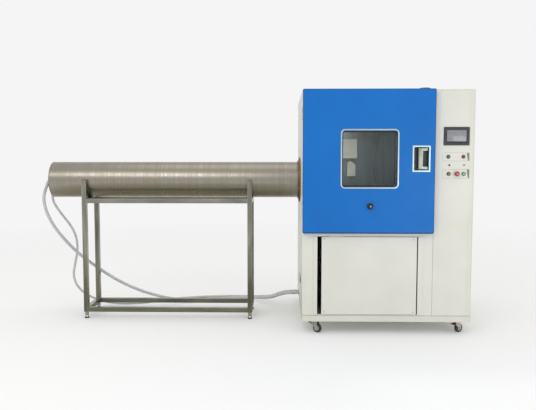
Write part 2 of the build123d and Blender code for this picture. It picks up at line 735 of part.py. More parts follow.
def elbow_points(index):
    """Centre line of a nozzle's elbow: out of the plate, then down."""
    y, z = nozzle_places()[index]
    start = Vector(-TUBE_REACH - NOZZLE_STUB, y, z)
    corner = start - Vector(0.62 * ELBOW_LEG, 0, 0) if index == 0 else start - Vector(ELBOW_LEG * 0.95, 0, 0)
    down = Vector(-0.5, 0, -math.sqrt(0.75)) if index == 0 else Vector(0.0, 0, -1)
    return start, corner, corner + down * ELBOW_LEG, down


def jet_nozzle(index, bore):
    """Jet nozzle through the end plate: a tapered barrel inside, a hexagon and an elbow outside."""
    y, z = nozzle_places()[index]
    body = NOZZLE_BODY
    inside = revolved(
        [
            (bore / 2, NOZZLE_LENGTH),
            (body * 0.55, NOZZLE_LENGTH),
            (body * 0.6, NOZZLE_LENGTH * 0.45),
            (body * 0.8, NOZZLE_LENGTH * 0.3),
            (body * 0.8, 0),
            (bore / 2, 0),
        ],
        (-TUBE_REACH, y, z),
        (1, 0, 0),
        (0, 0, 1),
    )
    hexagon = Plane(origin=(-TUBE_REACH - NOZZLE_STUB, y, z), z_dir=(1, 0, 0)) * RegularPolygon(body * 1.1, 6)
    outside = extrude(hexagon, amount=NOZZLE_STUB)
    start, corner, end, _ = elbow_points(index)
    bend = ELBOW_BEND if index == 0 else ELBOW_LEG * 0.9
    elbow = swept_bar([start, corner, end], hose_radius(index) + 3, [bend])
    return inside + outside + elbow


def hose_radius(index):
    """Outer radius of the large or the small hose."""
    return (LARGE_HOSE, SMALL_HOSE)[index]


def jet_nozzles():
    """The large and the small jet nozzle."""
    return Compound(children=[jet_nozzle(0, LARGE_NOZZLE_BORE), jet_nozzle(1, SMALL_NOZZLE_BORE)])


# Hoses


def hose_route(index):
    """Points of a hose: its lead out of the elbow, its run as it lies, and its lead into the spigot."""
    _, _, end, down = elbow_points(index)
    lead = (LARGE_LEAD, SMALL_LEAD)[index]
    route = (LARGE_ROUTE, SMALL_ROUTE)[index]
    depth = SPIGOT_DEPTHS[index]
    entry = [(-SPIGOT_REACH - SPIGOT_LEAD, depth, SPIGOT_HEIGHT), (-SPIGOT_REACH, depth, SPIGOT_HEIGHT)]
    return [tuple(end), tuple(end + down * lead), *route, *entry]


def hose(index):
    """One hose as a plain round bar along its route."""
    points = hose_route(index)
    bends = corner_radii(points)
    radius = hose_radius(index)
    solid = swept_bar(points, radius, bends)
    length = solid.volume / (math.pi * radius**2)
    print("hose", index, "length", round(length), "tightest bend", round(min(bends)), [round(b) for b in bends])
    return solid


def hose_ferrules():
    """Crimped ferrules at the four ends of the two hoses."""
    ferrules = []
    for index in range(2):
        points = hose_route(index)
        inner = hose_radius(index) + SEAT_GAP
        for tip, back in ((points[0], points[1]), (points[-1], points[-2])):
            direction = Vector(back) - Vector(tip)
            ferrules.append(pipe(tip, direction, inner + FERRULE_WALL, inner, FERRULE_LENGTH))
    return Compound(children=ferrules)


def hose_spigots():
    """Spigots through the cabinet's left side that take the hoses outside and the pipes inside."""
    spigots = []
    for depth, radius in zip(SPIGOT_DEPTHS, (LARGE_HOSE, SMALL_HOSE)):
        start = (-SPIGOT_REACH, depth, SPIGOT_HEIGHT)
        spigot = rod(start, (1, 0, 0), radius, SPIGOT_REACH + SHEET + 14)
        hexagon = Plane(origin=(-8, depth, SPIGOT_HEIGHT), z_dir=(1, 0, 0)) * RegularPolygon(SPIGOT_FLANGE, 6)
        spigot += extrude(hexagon, amount=8)
        spigots.append(spigot)
    return Compound(children=spigots)


# Stand


def post_places():
    """The four posts of the stand."""
    return [(x, TUBE_DEPTH + side * POST_OFFSET) for x in (STAND_LEFT, STAND_RIGHT) for side in (-1, 1)]


def stand_posts():
    """Square tube posts, capped above and closed below by a plate bored for the foot's stem."""
    posts = []
    half = POST / 2
    for x, y in post_places():
        post = block(x - half, x + half, y - half, y + half, FOOT_HEIGHT, TUBE_AXIS)
        hollow = half - POST_WALL
        post -= block(x - hollow, x + hollow, y - hollow, y + hollow, FOOT_HEIGHT + POST_CAP, TUBE_AXIS - POST_WALL)
        post -= rod((x, y, FOOT_HEIGHT - 1), (0, 0, 1), FOOT_STEM + SEAT_GAP, POST_CAP + 2)
        top = post.faces().sort_by(Axis.Z)[-1]
        posts.append(fillet(top.edges(), 1.5))
    return Compound(children=posts)


def square_rail(start, end):
    """Square tube between two points along X or Y, open at its ends; the points are on its centre line."""
    half = POST / 2
    hollow = half - POST_WALL
    (x0, y0, z), (x1, y1, _) = start, end
    if y0 == y1:
        return block(x0, x1, y0 - half, y0 + half, z - half, z + half) - block(
            x0, x1, y0 - hollow, y0 + hollow, z - hollow, z + hollow
        )
    return block(x0 - half, x0 + half, y0, y1, z - half, z + half) - block(
        x0 - hollow, x0 + hollow, y0, y1, z - hollow, z + hollow
    )


def stand_rails():
    """Upper and lower rails between the posts, and the saddles that carry the tube."""
    half = POST / 2
    front, back = TUBE_DEPTH - POST_OFFSET, TUBE_DEPTH + POST_OFFSET
    rails = []
    for z in (FOOT_HEIGHT + half, RAIL_TOP - half):
        for y in (front, back):
            rails.append(square_rail((STAND_LEFT + half, y, z), (STAND_RIGHT - half, y, z)))
        for x in (STAND_LEFT, STAND_RIGHT):
            rails.append(square_rail((x, front + half, z), (x, back - half, z)))
    return Compound(children=rails)


def stand_saddles():
    """Curved strips on the upper cross rails that hug the underside of the tube."""
    saddles = []
    inner = TUBE_RADIUS + 0.02
    for x in (STAND_LEFT, STAND_RIGHT):
        ring = pipe((x - POST / 2, TUBE_DEPTH, TUBE_AXIS), (1, 0, 0), inner + SADDLE_THICKNESS - 0.02, inner, POST)
        reach = 2 * TUBE_RADIUS
        lean = math.radians(SADDLE_HALF_ANGLE)
        wedge = Polyline(
            (TUBE_DEPTH, TUBE_AXIS),
            (TUBE_DEPTH - reach * math.sin(lean), TUBE_AXIS - reach * math.cos(lean)),
            (TUBE_DEPTH, TUBE_AXIS - 2 * reach),
            (TUBE_DEPTH + reach * math.sin(lean), TUBE_AXIS - reach * math.cos(lean)),
            close=True,
        )
        face = make_face(Plane(origin=(x - POST / 2, 0, 0), x_dir=(0, 1, 0), z_dir=(1, 0, 0)) * wedge)
        saddles.append(ring & extrude(face, amount=POST))
    return Compound(children=saddles)


def stand_feet():
    """Levelling feet: a pad, a stem and a nut housing, with the stem going up into the post."""
    feet = []
    for x, y in post_places():
        profile = [
            (0, 0),
            (FOOT_RADIUS * 0.75, 0),
            (FOOT_RADIUS * 0.8, FOOT_PAD * 0.8),
            (FOOT_STEM, FOOT_PAD),
            (FOOT_STEM, FOOT_PAD * 1.8),
            (FOOT_RADIUS, FOOT_PAD * 2.4),
            (FOOT_RADIUS, FOOT_HEIGHT),
            (FOOT_STEM, FOOT_HEIGHT),
            (FOOT_STEM, FOOT_HEIGHT + 30),
            (0, FOOT_HEIGHT + 30),
        ]
        feet.append(revolved(profile, (x, y, 0), (0, 0, 1), (1, 0, 0)))
    return Compound(children=feet)


# Main door


def window_slab(grow, y0, y1):
    """Rounded slab of the window opening, grown all round, between two depths."""
    return front_slab(
        WINDOW_LEFT - grow,
        WINDOW_WIDTH + 2 * grow,
        WINDOW_BOTTOM - grow,
        WINDOW_HEIGHT + 2 * grow,
        WINDOW_CORNER + grow,
        y0,
        y1,
    )


def recess_slab(grow, y0, y1):
    """Slab of the handle recess, grown all round, between two depths."""
    return front_slab(
        RECESS_LEFT - grow,
        RECESS_WIDTH + 2 * grow,
        RECESS_BOTTOM - grow,
        RECESS_HEIGHT + 2 * grow,
        2 + grow,
        y0,
        y1,
    )


def wiper_bore(y0, y1):
    """Running bore for the wiper's shaft."""
    return rod((WIPER_X, y0, WIPER_Z), (0, 1, 0), WIPER_SHAFT + RUNNING, y1 - y0)


def door_skin():
    """Outer pan of the door, folded back all round, with the window's, handle's and wiper's holes."""
    skin = front_slab(0, DOOR_WIDTH, DOOR_BOTTOM, DOOR_HEIGHT, DOOR_CORNER, 0, DOOR_DEPTH)
    skin = fillet(skin.faces().sort_by(Axis.Y)[0].edges(), 3)
    skin -= front_slab(
        SHEET,
        DOOR_WIDTH - 2 * SHEET,
        DOOR_BOTTOM + SHEET,
        DOOR_HEIGHT - 2 * SHEET,
        DOOR_CORNER - SHEET,
        SHEET,
        DOOR_DEPTH + 1,
    )
    skin -= window_slab(SLEEVE_WALL, -1, DOOR_DEPTH)
    skin -= recess_slab(RECESS_WALL, -1, DOOR_DEPTH)
    return skin - wiper_bore(-1, DOOR_DEPTH)


def plug_slab(grow, y0, y1):
    """Slab of the door's plug, grown all round, between two depths."""
    return front_slab(
        CHAMBER_LEFT + PLUG_CLEARANCE - grow,
        CHAMBER_WIDTH - 2 * PLUG_CLEARANCE + 2 * grow,
        CHAMBER_FLOOR + PLUG_CLEARANCE - grow,
        CHAMBER_HEIGHT - 2 * PLUG_CLEARANCE + 2 * grow,
        12 + grow,
        y0,
        y1,
    )


def door_inner_panel():
    """Inner pan of the door: a back plate inside the skin and the plug that stands into the chamber."""
    panel = front_slab(
        SHEET,
        DOOR_WIDTH - 2 * SHEET,
        DOOR_BOTTOM + SHEET,
        DOOR_HEIGHT - 2 * SHEET,
        DOOR_CORNER - SHEET,
        DOOR_DEPTH - SHEET,
        DOOR_DEPTH,
    )
    panel += plug_slab(0, DOOR_DEPTH, PLUG_BACK)
    panel -= plug_slab(-SHEET, DOOR_DEPTH - SHEET - 1, PLUG_BACK - SHEET)
    panel -= window_slab(SLEEVE_WALL, 0, PLUG_BACK + 1)
    return panel - wiper_bore(0, PLUG_BACK + 1)


def door_seal():
    """Soft seal ring on the door's back plate, just clear of the front frame."""
    seal = front_slab(
        SEAL_INSET,
        DOOR_WIDTH - 2 * SEAL_INSET,
        DOOR_BOTTOM + SEAL_INSET,
        DOOR_HEIGHT - 2 * SEAL_INSET,
        15,
        DOOR_DEPTH,
        BODY_FRONT - SEAL_GAP,
    )
    inset = SEAL_INSET + SEAL_WIDTH
    return seal - front_slab(
        inset,
        DOOR_WIDTH - 2 * inset,
        DOOR_BOTTOM + inset,
        DOOR_HEIGHT - 2 * inset,
        8,
        DOOR_DEPTH - 1,
        BODY_FRONT,
    )


def window_frame():
    """Window surround: a trim ring on the door's face and a sleeve through the door."""
    frame = window_slab(TRIM_WIDTH, -TRIM_PROUD, 0)
    frame = fillet(frame.faces().sort_by(Axis.Y)[0].edges(), 1.5)
    frame += window_slab(SLEEVE_WALL, 0, PLUG_BACK)
    return frame - window_slab(0, -TRIM_PROUD - 1, PLUG_BACK + 1)


def window_glass():
    """Outer and inner pane."""
    outer = window_slab(-SEAT_GAP, PANE_SETBACK, PANE_SETBACK + PANE)
    inner = window_slab(-SEAT_GAP, PLUG_BACK - PANE, PLUG_BACK)
    return Compound(children=[outer, inner])


def handle_recess():
    """Tray for the handle, with a trim ring on the door's face and bores for the lever's pin."""
    tray = recess_slab(RECESS_TRIM, -TRIM_PROUD, 0)
    tray = fillet(tray.faces().sort_by(Axis.Y)[0].edges(), 1.5)
    tray += recess_slab(RECESS_WALL, 0, RECESS_DEPTH + RECESS_WALL)
    tray -= recess_slab(0, -TRIM_PROUD - 1, RECESS_DEPTH)
    bottom = RECESS_BOTTOM - RECESS_WALL - 1
    bore = rod((*LEVER_PIVOT, bottom), (0, 0, 1), LEVER_PIN + RUNNING, RECESS_HEIGHT + 2 * RECESS_WALL + 2)
    return tray - bore


def handle_lever():
    """C-shaped lever: an upright grip with two arms to a pin at its right, in the recess."""
    x0 = RECESS_LEFT + LEVER_GRIP_OFFSET
    z0 = RECESS_BOTTOM + LEVER_END_GAP
    z1 = RECESS_BOTTOM + RECESS_HEIGHT - LEVER_END_GAP
    y0, y1 = LEVER_FRONT, LEVER_FRONT + LEVER_THICKNESS
    pivot_x, pivot_y = LEVER_PIVOT
    grip = block(x0, x0 + LEVER_GRIP_WIDTH, y0, y1, z0, z1)
    grip = fillet(grip.edges().filter_by(Axis.Z), 5)
    for z in (z0, z1 - LEVER_ARM):
        grip += block(x0 + LEVER_GRIP_WIDTH / 2, pivot_x, y0 + 1, y1 - 1, z, z + LEVER_ARM)
        grip += rod((pivot_x, pivot_y, z), (0, 0, 1), LEVER_HUB, LEVER_ARM)
    pin_start = RECESS_BOTTOM - RECESS_WALL
    return grip + rod((pivot_x, pivot_y, pin_start), (0, 0, 1), LEVER_PIN, RECESS_HEIGHT + 2 * RECESS_WALL)


def wiper_knob():
    """Three-lobed knob on the door's face, on the shaft that turns the wiper inside."""
    skirt_front = -SOFT_GAP - KNOB_SKIRT
    front = skirt_front - KNOB_HEIGHT
    lobes = Circle(KNOB_CORE)
    for turn in range(3):
        angle = math.radians(90 + 120 * turn)
        reach = KNOB_CORE - 1
        lobes += Pos(reach * math.cos(angle), reach * math.sin(angle)) * Circle(KNOB_LOBE)
    lobes = fillet(lobes.vertices(), 5)
    plane = Plane(origin=(WIPER_X, front, WIPER_Z), x_dir=(1, 0, 0), z_dir=(0, 1, 0))
    knob = extrude(plane * lobes, amount=KNOB_HEIGHT)
    knob = chamfer(knob.faces().sort_by(Axis.Y)[0].edges(), 2)
    knob += rod((WIPER_X, skirt_front - 1, WIPER_Z), (0, 1, 0), KNOB_CORE - 3, KNOB_SKIRT + 1)
    reach = PLUG_BACK + SOFT_GAP + BLADE_HEIGHT + WIPER_ARM_THICKNESS
    return knob + rod((WIPER_X, -SOFT_GAP, WIPER_Z), (0, 1, 0), WIPER_SHAFT, reach + SOFT_GAP)


def wiper_arm():
    """Wiper arm on the shaft's inner end, parked level, with its rubber blade against the inner pane."""
    blade_front = PLUG_BACK + SOFT_GAP
    arm_front = blade_front + BLADE_HEIGHT
    arm_back = arm_front + WIPER_ARM_THICKNESS
    root_half, tip_half = WIPER_ARM_WIDTH / 2, WIPER_ARM_WIDTH / 4
    outline = Polyline(
        (WIPER_X, WIPER_Z - root_half),
        (WIPER_X + WIPER_REACH, WIPER_Z - tip_half),
        (WIPER_X + WIPER_REACH, WIPER_Z + tip_half),
        (WIPER_X, WIPER_Z + root_half),
        close=True,
    )
    face = make_face(Plane(origin=(0, arm_front, 0), x_dir=(1, 0, 0), z_dir=(0, -1, 0)) * outline)
    arm = extrude(face, amount=-WIPER_ARM_THICKNESS)
    arm += rod((WIPER_X, blade_front + 1, WIPER_Z), (0, 1, 0), WIPER_HUB, arm_back - blade_front - 1)
    arm -= rod((WIPER_X, 0, WIPER_Z), (0, 1, 0), WIPER_SHAFT, arm_back + 1)
    tip = WIPER_X + WIPER_REACH - 5
    blade = block(
        tip - BLADE_LENGTH, tip, blade_front, arm_front, WIPER_Z - BLADE_WIDTH / 2, WIPER_Z + BLADE_WIDTH / 2
    )
    blade = chamfer(blade.faces().sort_by(Axis.Y)[0].edges().filter_by(Axis.X), BLADE_WIDTH / 4)
    return Compound(children=[arm, blade])


# Hinges


def hinge_knuckle(z, low, high):
    """Part of a hinge's barrel, bored for the pin."""
    return pipe((-HINGE_SIDE, HINGE_DEPTH, z + low), (0, 0, 1), HINGE_BARREL, HINGE_PIN + RUNNING, high - low)


def hinge_leaves_fixed():
    """Cabinet leaves with their two knuckles each, and the pins in them."""
    third = HINGE_LENGTH / 3
    leaf_front = BODY_FRONT + 3
    solids = []
    for z in HINGE_HEIGHTS:
        leaf = block(-HINGE_LEAF, 0, leaf_front, leaf_front + HINGE_LEAF_WIDTH, z, z + HINGE_LENGTH)
        for low in (0, 2 * third):
            leaf += block(-HINGE_LEAF, -1, DOOR_DEPTH + 1, leaf_front, z + low, z + low + third)
            leaf += rod((-HINGE_SIDE, HINGE_DEPTH, z + low), (0, 0, 1), HINGE_BARREL, third)
        leaf -= rod((-HINGE_SIDE, HINGE_DEPTH, z - 1), (0, 0, 1), HINGE_PIN, HINGE_LENGTH + 2)
        pin = rod((-HINGE_SIDE, HINGE_DEPTH, z), (0, 0, 1), HINGE_PIN, HINGE_LENGTH)
        pin += rod((-HINGE_SIDE, HINGE_DEPTH, z + HINGE_LENGTH), (0, 0, 1), HINGE_PIN + 2, 3)
        solids += [leaf, pin]
    return Compound(children=solids)


def hinge_leaves_door():
    """Door leaves, each with its middle knuckle."""
    third = HINGE_LENGTH / 3
    solids = []
    for z in HINGE_HEIGHTS:
        leaf = block(-HINGE_LEAF, 0, 5, DOOR_DEPTH - 10, z, z + HINGE_LENGTH)
        leaf += block(-HINGE_LEAF, 0, DOOR_DEPTH - 10, HINGE_DEPTH, z + third + SOFT_GAP, z + 2 * third - SOFT_GAP)
        leaf += hinge_knuckle(z, third + SOFT_GAP, 2 * third - SOFT_GAP)
        leaf -= rod((-HINGE_SIDE, HINGE_DEPTH, z), (0, 0, 1), HINGE_PIN + RUNNING, HINGE_LENGTH)
        solids.append(leaf)
    return Compound(children=solids)


# Service door


def service_door():
    """Lower door: a shallow pan hung on two pins, with a finger gap at its left."""
    door = block(PANEL_LEFT, PANEL_RIGHT, PANEL_FRONT, PANEL_FRONT + PANEL_DEPTH, PANEL_BOTTOM, PANEL_TOP)
    door = fillet(door.faces().sort_by(Axis.Y)[0].edges(), 1.5)
    door -= block(
        PANEL_LEFT + SHEET,
        PANEL_RIGHT - SHEET,
        PANEL_FRONT + SHEET,
        PANEL_FRONT + PANEL_DEPTH + 1,
        PANEL_BOTTOM + SHEET,
        PANEL_TOP - SHEET,
    )
    for z in (PANEL_BOTTOM, PANEL_TOP - SHEET):
        door -= rod((*PANEL_PIVOT, z - 1), (0, 0, 1), PANEL_PIN + RUNNING, SHEET + 2)
    return door


def service_hinges():
    """Pivot pins of the lower door, in the lower opening's flanges, with a washer under and over the door."""
    washer = PANEL_GAP - SOFT_GAP
    low = LOWER_BOTTOM - SHEET
    bottom = rod((*PANEL_PIVOT, low), (0, 0, 1), PANEL_PIN, SHEET + PANEL_GAP + 12)
    bottom += rod((*PANEL_PIVOT, LOWER_BOTTOM), (0, 0, 1), PANEL_PIN + 3, washer)
    top = rod((*PANEL_PIVOT, PANEL_TOP - 12), (0, 0, 1), PANEL_PIN, 12 + PANEL_GAP + SHEET)
    top += rod((*PANEL_PIVOT, LOWER_TOP - washer), (0, 0, 1), PANEL_PIN + 3, washer)
    return Compound(children=[bottom, top])


# Turntable


def turntable():
    """Specimen table: a rimmed disc with slots, a hub and the shaft through the chamber's floor."""
    top = CHAMBER_FLOOR + TURNTABLE_HEIGHT
    centre = (TURNTABLE_X, TUBE_DEPTH)
    below = CHAMBER_FLOOR - SHEET - GEARBOX_SIZE[2]
    under = top - TURNTABLE_THICKNESS
    profile = [
        (0, below + 10),
        (SHAFT_RADIUS, below + 10),
        (SHAFT_RADIUS, under - 25),
        (SHAFT_RADIUS * 2.4, under - 12),
        (SHAFT_RADIUS * 2.4, under),
        (TURNTABLE_RADIUS - 6, under),
        (TURNTABLE_RADIUS - 6, top - TURNTABLE_RIM),
        (TURNTABLE_RADIUS, top - TURNTABLE_RIM),
        (TURNTABLE_RADIUS, top),
        (0, top),
    ]
    table = revolved(profile, (*centre, 0), (0, 0, 1), (1, 0, 0))
    for index in range(4):
        angle = 45 + 90 * index
        place = Pos(*centre, under - 1) * Rot(0, 0, angle) * Pos(TURNTABLE_RADIUS * 0.55, 0, 0)
        table -= place * extrude(SlotOverall(180, 12), amount=TURNTABLE_THICKNESS + 2)
    return table


def turntable_drive():
    """Bearing housing on the chamber's floor and the geared motor under it."""
    x, y = TURNTABLE_X, TUBE_DEPTH
    bore = SHAFT_RADIUS + RUNNING
    housing = revolved(
        [
            (bore, 0),
            (BEARING_RADIUS * 1.35, 0),
            (BEARING_RADIUS * 1.35, 8),
            (BEARING_RADIUS * 0.8, 10),
            (BEARING_RADIUS * 0.7, BEARING_HEIGHT),
            (bore, BEARING_HEIGHT),
        ],
        (x, y, CHAMBER_FLOOR),
        (0, 0, 1),
        (1, 0, 0),
    )
    width, depth, height = GEARBOX_SIZE
    top = CHAMBER_FLOOR - SHEET
    gearbox = block(x - width / 2, x + width / 2, y - depth / 2, y + depth / 2, top - height, top)
    gearbox = fillet(gearbox.edges().filter_by(Axis.Z), 8)
    gearbox -= rod((x, y, top - height + 8), (0, 0, 1), bore, height)
    motor = rod((x, y - depth / 2, top - height / 2 - 12), (0, -1, 0), GEARMOTOR_RADIUS * 0.75, GEARMOTOR_LENGTH)
    return Compound(children=[housing, gearbox + motor])


def specimen_socket():
    """Splash-proof socket box on the chamber's back wall, with a gabled outlet cover under it."""
    width, depth, height = SOCKET_SIZE
    box = front_slab(SOCKET_LEFT, width, SOCKET_BOTTOM, height, 8, CHAMBER_BACK - depth, CHAMBER_BACK)
    box = fillet(box.faces().sort_by(Axis.Y)[0].edges(), 4)
    out_width, out_depth, out_height = OUTLET_SIZE
    left, bottom = OUTLET_LEFT, OUTLET_BOTTOM
    outline = Polyline(
        (left, bottom),
        (left + out_width, bottom),
        (left + out_width, bottom + out_height - OUTLET_GABLE),
        (left + out_width * 0.4, bottom + out_height),
        (left, bottom + out_height - OUTLET_GABLE * 0.4),
        close=True,
    )
    face = make_face(Plane(origin=(0, CHAMBER_BACK, 0), x_dir=(1, 0, 0), z_dir=(0, -1, 0)) * outline)
    cover = extrude(face, amount=out_depth)
    return Compound(children=[box, cover])


# Water circuit


def water_tank():
    """Open tank with a folded rim, under the chamber's drain."""
    width, depth, height = TANK_SIZE
    x0, y0, z0 = TANK_LEFT, TANK_FRONT, BODY_BOTTOM
    tank = block(x0, x0 + width, y0, y0 + depth, z0, z0 + height)
    tank = fillet(tank.edges().filter_by(Axis.Z), 12)
    rim = block(
        x0 - TANK_RIM, x0 + width + TANK_RIM, y0 - TANK_RIM, y0 + depth + TANK_RIM, z0 + height - 4, z0 + height
    )
    tank += rim
    cavity = block(
        x0 + TANK_WALL, x0 + width - TANK_WALL, y0 + TANK_WALL, y0 + depth - TANK_WALL, z0 + TANK_WALL, z0 + height
    )
    return tank - fillet(cavity.edges().filter_by(Axis.Z), 12 - TANK_WALL)


def booster_pump():
    """Booster pump: a round pump head with ports and the motor behind it, on feet."""
    head = rod((PUMP_HEAD_LEFT, PUMP_FRONT, PUMP_AXIS), (1, 0, 0), PUMP_HEAD_RADIUS, PUMP_HEAD_LENGTH)
    head = fillet(head.edges(), 6)
    middle = PUMP_HEAD_LEFT + PUMP_HEAD_LENGTH / 2
    head += rod((middle, PUMP_FRONT, PUMP_AXIS), (0, 0, 1), PIPE_RADIUS + 8, PUMP_HEAD_RADIUS + 20)
    head += rod((middle, PUMP_FRONT, PUMP_AXIS), (1, 0, 0), PIPE_RADIUS + 8, PUMP_HEAD_LENGTH / 2 + 12)
    head += block(
        PUMP_HEAD_LEFT + 10, PUMP_HEAD_LEFT + PUMP_HEAD_LENGTH - 10, PUMP_FRONT - 70, PUMP_FRONT + 70, BODY_BOTTOM, PUMP_AXIS
    )
    motor_left = PUMP_HEAD_LEFT - MOTOR_LENGTH
    motor = rod((motor_left, PUMP_FRONT, PUMP_AXIS), (1, 0, 0), MOTOR_RADIUS, MOTOR_LENGTH)
    motor = fillet(motor.edges().sort_by(Axis.X)[0], 12)
    for fin in range(6):
        x = motor_left + 45 + fin * 26
        motor += rod((x, PUMP_FRONT, PUMP_AXIS), (1, 0, 0), MOTOR_RADIUS + 5, 8)
    motor += block(
        motor_left + 60, PUMP_HEAD_LEFT - 60, PUMP_FRONT - 60, PUMP_FRONT + 60, BODY_BOTTOM, PUMP_AXIS - 30
    )
    motor += block(
        motor_left + 70, motor_left + 170, PUMP_FRONT - 40, PUMP_FRONT + 40, PUMP_AXIS + 60, PUMP_AXIS + 105
    )
    return Compound(children=[head, motor])


def pipework():
    """Pipes from tank to pump, pump to valve block and valve block to the spigots, and the chamber's drain."""
    x, y, z = MANIFOLD
    width, depth, height = MANIFOLD_SIZE
    middle = PUMP_HEAD_LEFT + PUMP_HEAD_LENGTH / 2
    head_top = PUMP_AXIS + PUMP_HEAD_RADIUS + 20
    riser = swept_bar(
        [(middle, PUMP_FRONT, head_top), (middle, PUMP_FRONT, z), (x, PUMP_FRONT, z), (x, y, z)],
        PIPE_RADIUS,
        [PIPE_BEND, PIPE_BEND],
    )
    valves = block(x - width / 2, x + width / 2, y, y + depth, z - height / 2, z + height / 2)
    valves = fillet(valves.edges().filter_by(Axis.Y), 5)
    for side in (-0.22, 0.22):
        valves += rod((x + side * width, y + depth / 2, z + height / 2), (0, 0, 1), VALVE_RADIUS * 0.9, VALVE_LENGTH)
    valves += block(SHEET, x - width / 2, y + 20, y + depth - 20, z - 25, z + 25)
    inner_end = SHEET + 14
    low = SPIGOT_HEIGHT
    pipes = [riser, valves]
    places = ((x - 18, SPIGOT_DEPTHS[0], PIPE_RADIUS * 0.7), (x + 18, SPIGOT_DEPTHS[1], SMALL_PIPE_RADIUS * 0.7))
    for pipe_x, depth_y, radius in places:
        points = [(pipe_x, y + depth, z), (pipe_x, depth_y, z), (pipe_x, depth_y, low), (inner_end, depth_y, low)]
        reach = pipe_x - inner_end
        pipes.append(swept_bar(points, radius, [PIPE_BEND, min(PIPE_BEND, reach * 0.8)]))
    head_right = PUMP_HEAD_LEFT + PUMP_HEAD_LENGTH + 12
    suction = [
        (head_right, PUMP_FRONT, PUMP_AXIS),
        (TANK_LEFT + 120, PUMP_FRONT, PUMP_AXIS),
        (TANK_LEFT + 120, TANK_FRONT, PUMP_AXIS),
    ]
    pipes.append(swept_bar(suction, PIPE_RADIUS, [PIPE_BEND]))
    drain_top = CHAMBER_FLOOR - SHEET
    tank_top = BODY_BOTTOM + TANK_SIZE[2]
    drop = drain_top - tank_top + 60
    drain = pipe((*drain_place(), drain_top - drop), (0, 0, 1), DRAIN_PIPE, FLOOR_DRAIN, drop)
    drain += pipe((*drain_place(), drain_top - 6), (0, 0, 1), DRAIN_PIPE + 12, FLOOR_DRAIN, 6)
    pipes.append(drain)
    return Compound(children=pipes)


def rear_fittings():
    """Water inlet nipple, drain stub and mains cable gland on the rear panel."""
    x, z = INLET_AT
    back = BODY_BACK - SHEET
    reach = REAR_REACH + SHEET
    inlet = rod((x, back - 10, z), (0, 1, 0), INLET_RADIUS, reach + 10)
    inlet += extrude(Plane(origin=(x, BODY_BACK, z), z_dir=(0, 1, 0)) * RegularPolygon(18, 6), amount=10)
    x, z = DRAIN_AT
    drain = pipe((x, back - 10, z), (0, 1, 0), DRAIN_RADIUS, DRAIN_RADIUS - 3, reach + 10)
    drain += pipe((x, BODY_BACK, z), (0, 1, 0), DRAIN_RADIUS + 14, DRAIN_RADIUS - 3, 5)
    x, z = GLAND_AT
    gland = rod((x, back - 10, z), (0, 1, 0), GLAND_RADIUS, 12 + SHEET)
    gland += extrude(Plane(origin=(x, BODY_BACK, z), z_dir=(0, 1, 0)) * RegularPolygon(22, 6), amount=9)
    cap = rod((x, BODY_BACK + 9, z), (0, 1, 0), GLAND_RADIUS + 1, REAR_REACH - 17)
    gland += fillet(cap.edges().sort_by(Axis.Y)[-1], 5)
    gland -= rod((x, back - 11, z), (0, 1, 0), GLAND_BORE, reach + 12)
    return Compound(children=[inlet, drain, gland])


def roof_vent():
    """Round breather on the roof: a neck under a cap with a drip edge."""
    profile = [
        (VENT_NECK * 0.6, -30),
        (VENT_NECK, -30),
        (VENT_NECK, 0),
        (VENT_NECK + 12, 0),
        (VENT_NECK + 12, 3),
        (VENT_NECK, 3),
        (VENT_NECK, VENT_HEIGHT * 0.45),
        (VENT_RADIUS, VENT_HEIGHT * 0.45),
        (VENT_RADIUS, VENT_HEIGHT * 0.72),
        (VENT_RADIUS * 0.8, VENT_HEIGHT * 0.93),
        (VENT_RADIUS * 0.4, VENT_HEIGHT),
        (0, VENT_HEIGHT),
        (0, VENT_HEIGHT * 0.7),
        (VENT_NECK * 0.6, VENT_HEIGHT * 0.6),
    ]
    return revolved(profile, (*VENT_AT, CABINET_TOP), (0, 0, 1), (1, 0, 0))


# Casters


def caster_place(corner):
    """Swivel axis of a caster."""
    x = CASTER_INSET if "left" in corner else CABINET_WIDTH - CASTER_INSET
    y = BODY_FRONT + CASTER_SETBACK if "front" in corner else BODY_BACK - CASTER_SETBACK
    return x, y


def set_caster(shape, corner):
    """Moves a caster piece from its own axis to its corner, swivelled as it stands."""
    return shape.moved(Location((*caster_place(corner), 0), (0, 0, CASTER_YAWS[corner])))


def caster_plate():
    """Fixed top plate with its bearing cup, and the kingpin that holds the fork."""
    length, width, thickness = CASTER_PLATE
    under = CASTER_HEIGHT - thickness
    plate = Pos(0, 0, under) * extrude(RectangleRounded(length, width, 6), amount=thickness)
    fork_top = fork_crown()[1]
    profile = [
        (0, under),
        (24, under),
        (27, fork_top + SOFT_GAP),
        (KINGPIN, fork_top + SOFT_GAP),
        (KINGPIN, fork_top - FORK_SHEET - 1 - SOFT_GAP),
        (KINGPIN + 4, fork_top - FORK_SHEET - 1 - SOFT_GAP),
        (KINGPIN + 4, fork_top - FORK_SHEET - 5),
        (0, fork_top - FORK_SHEET - 5),
    ]
    return plate + revolved(profile, (0, 0, 0), (0, 0, 1), (1, 0, 0))


def fork_crown():
    """Underside and top of the fork's crown."""
    top = CASTER_HEIGHT - CASTER_PLATE[2] - 6
    return top - FORK_SHEET - 1, top


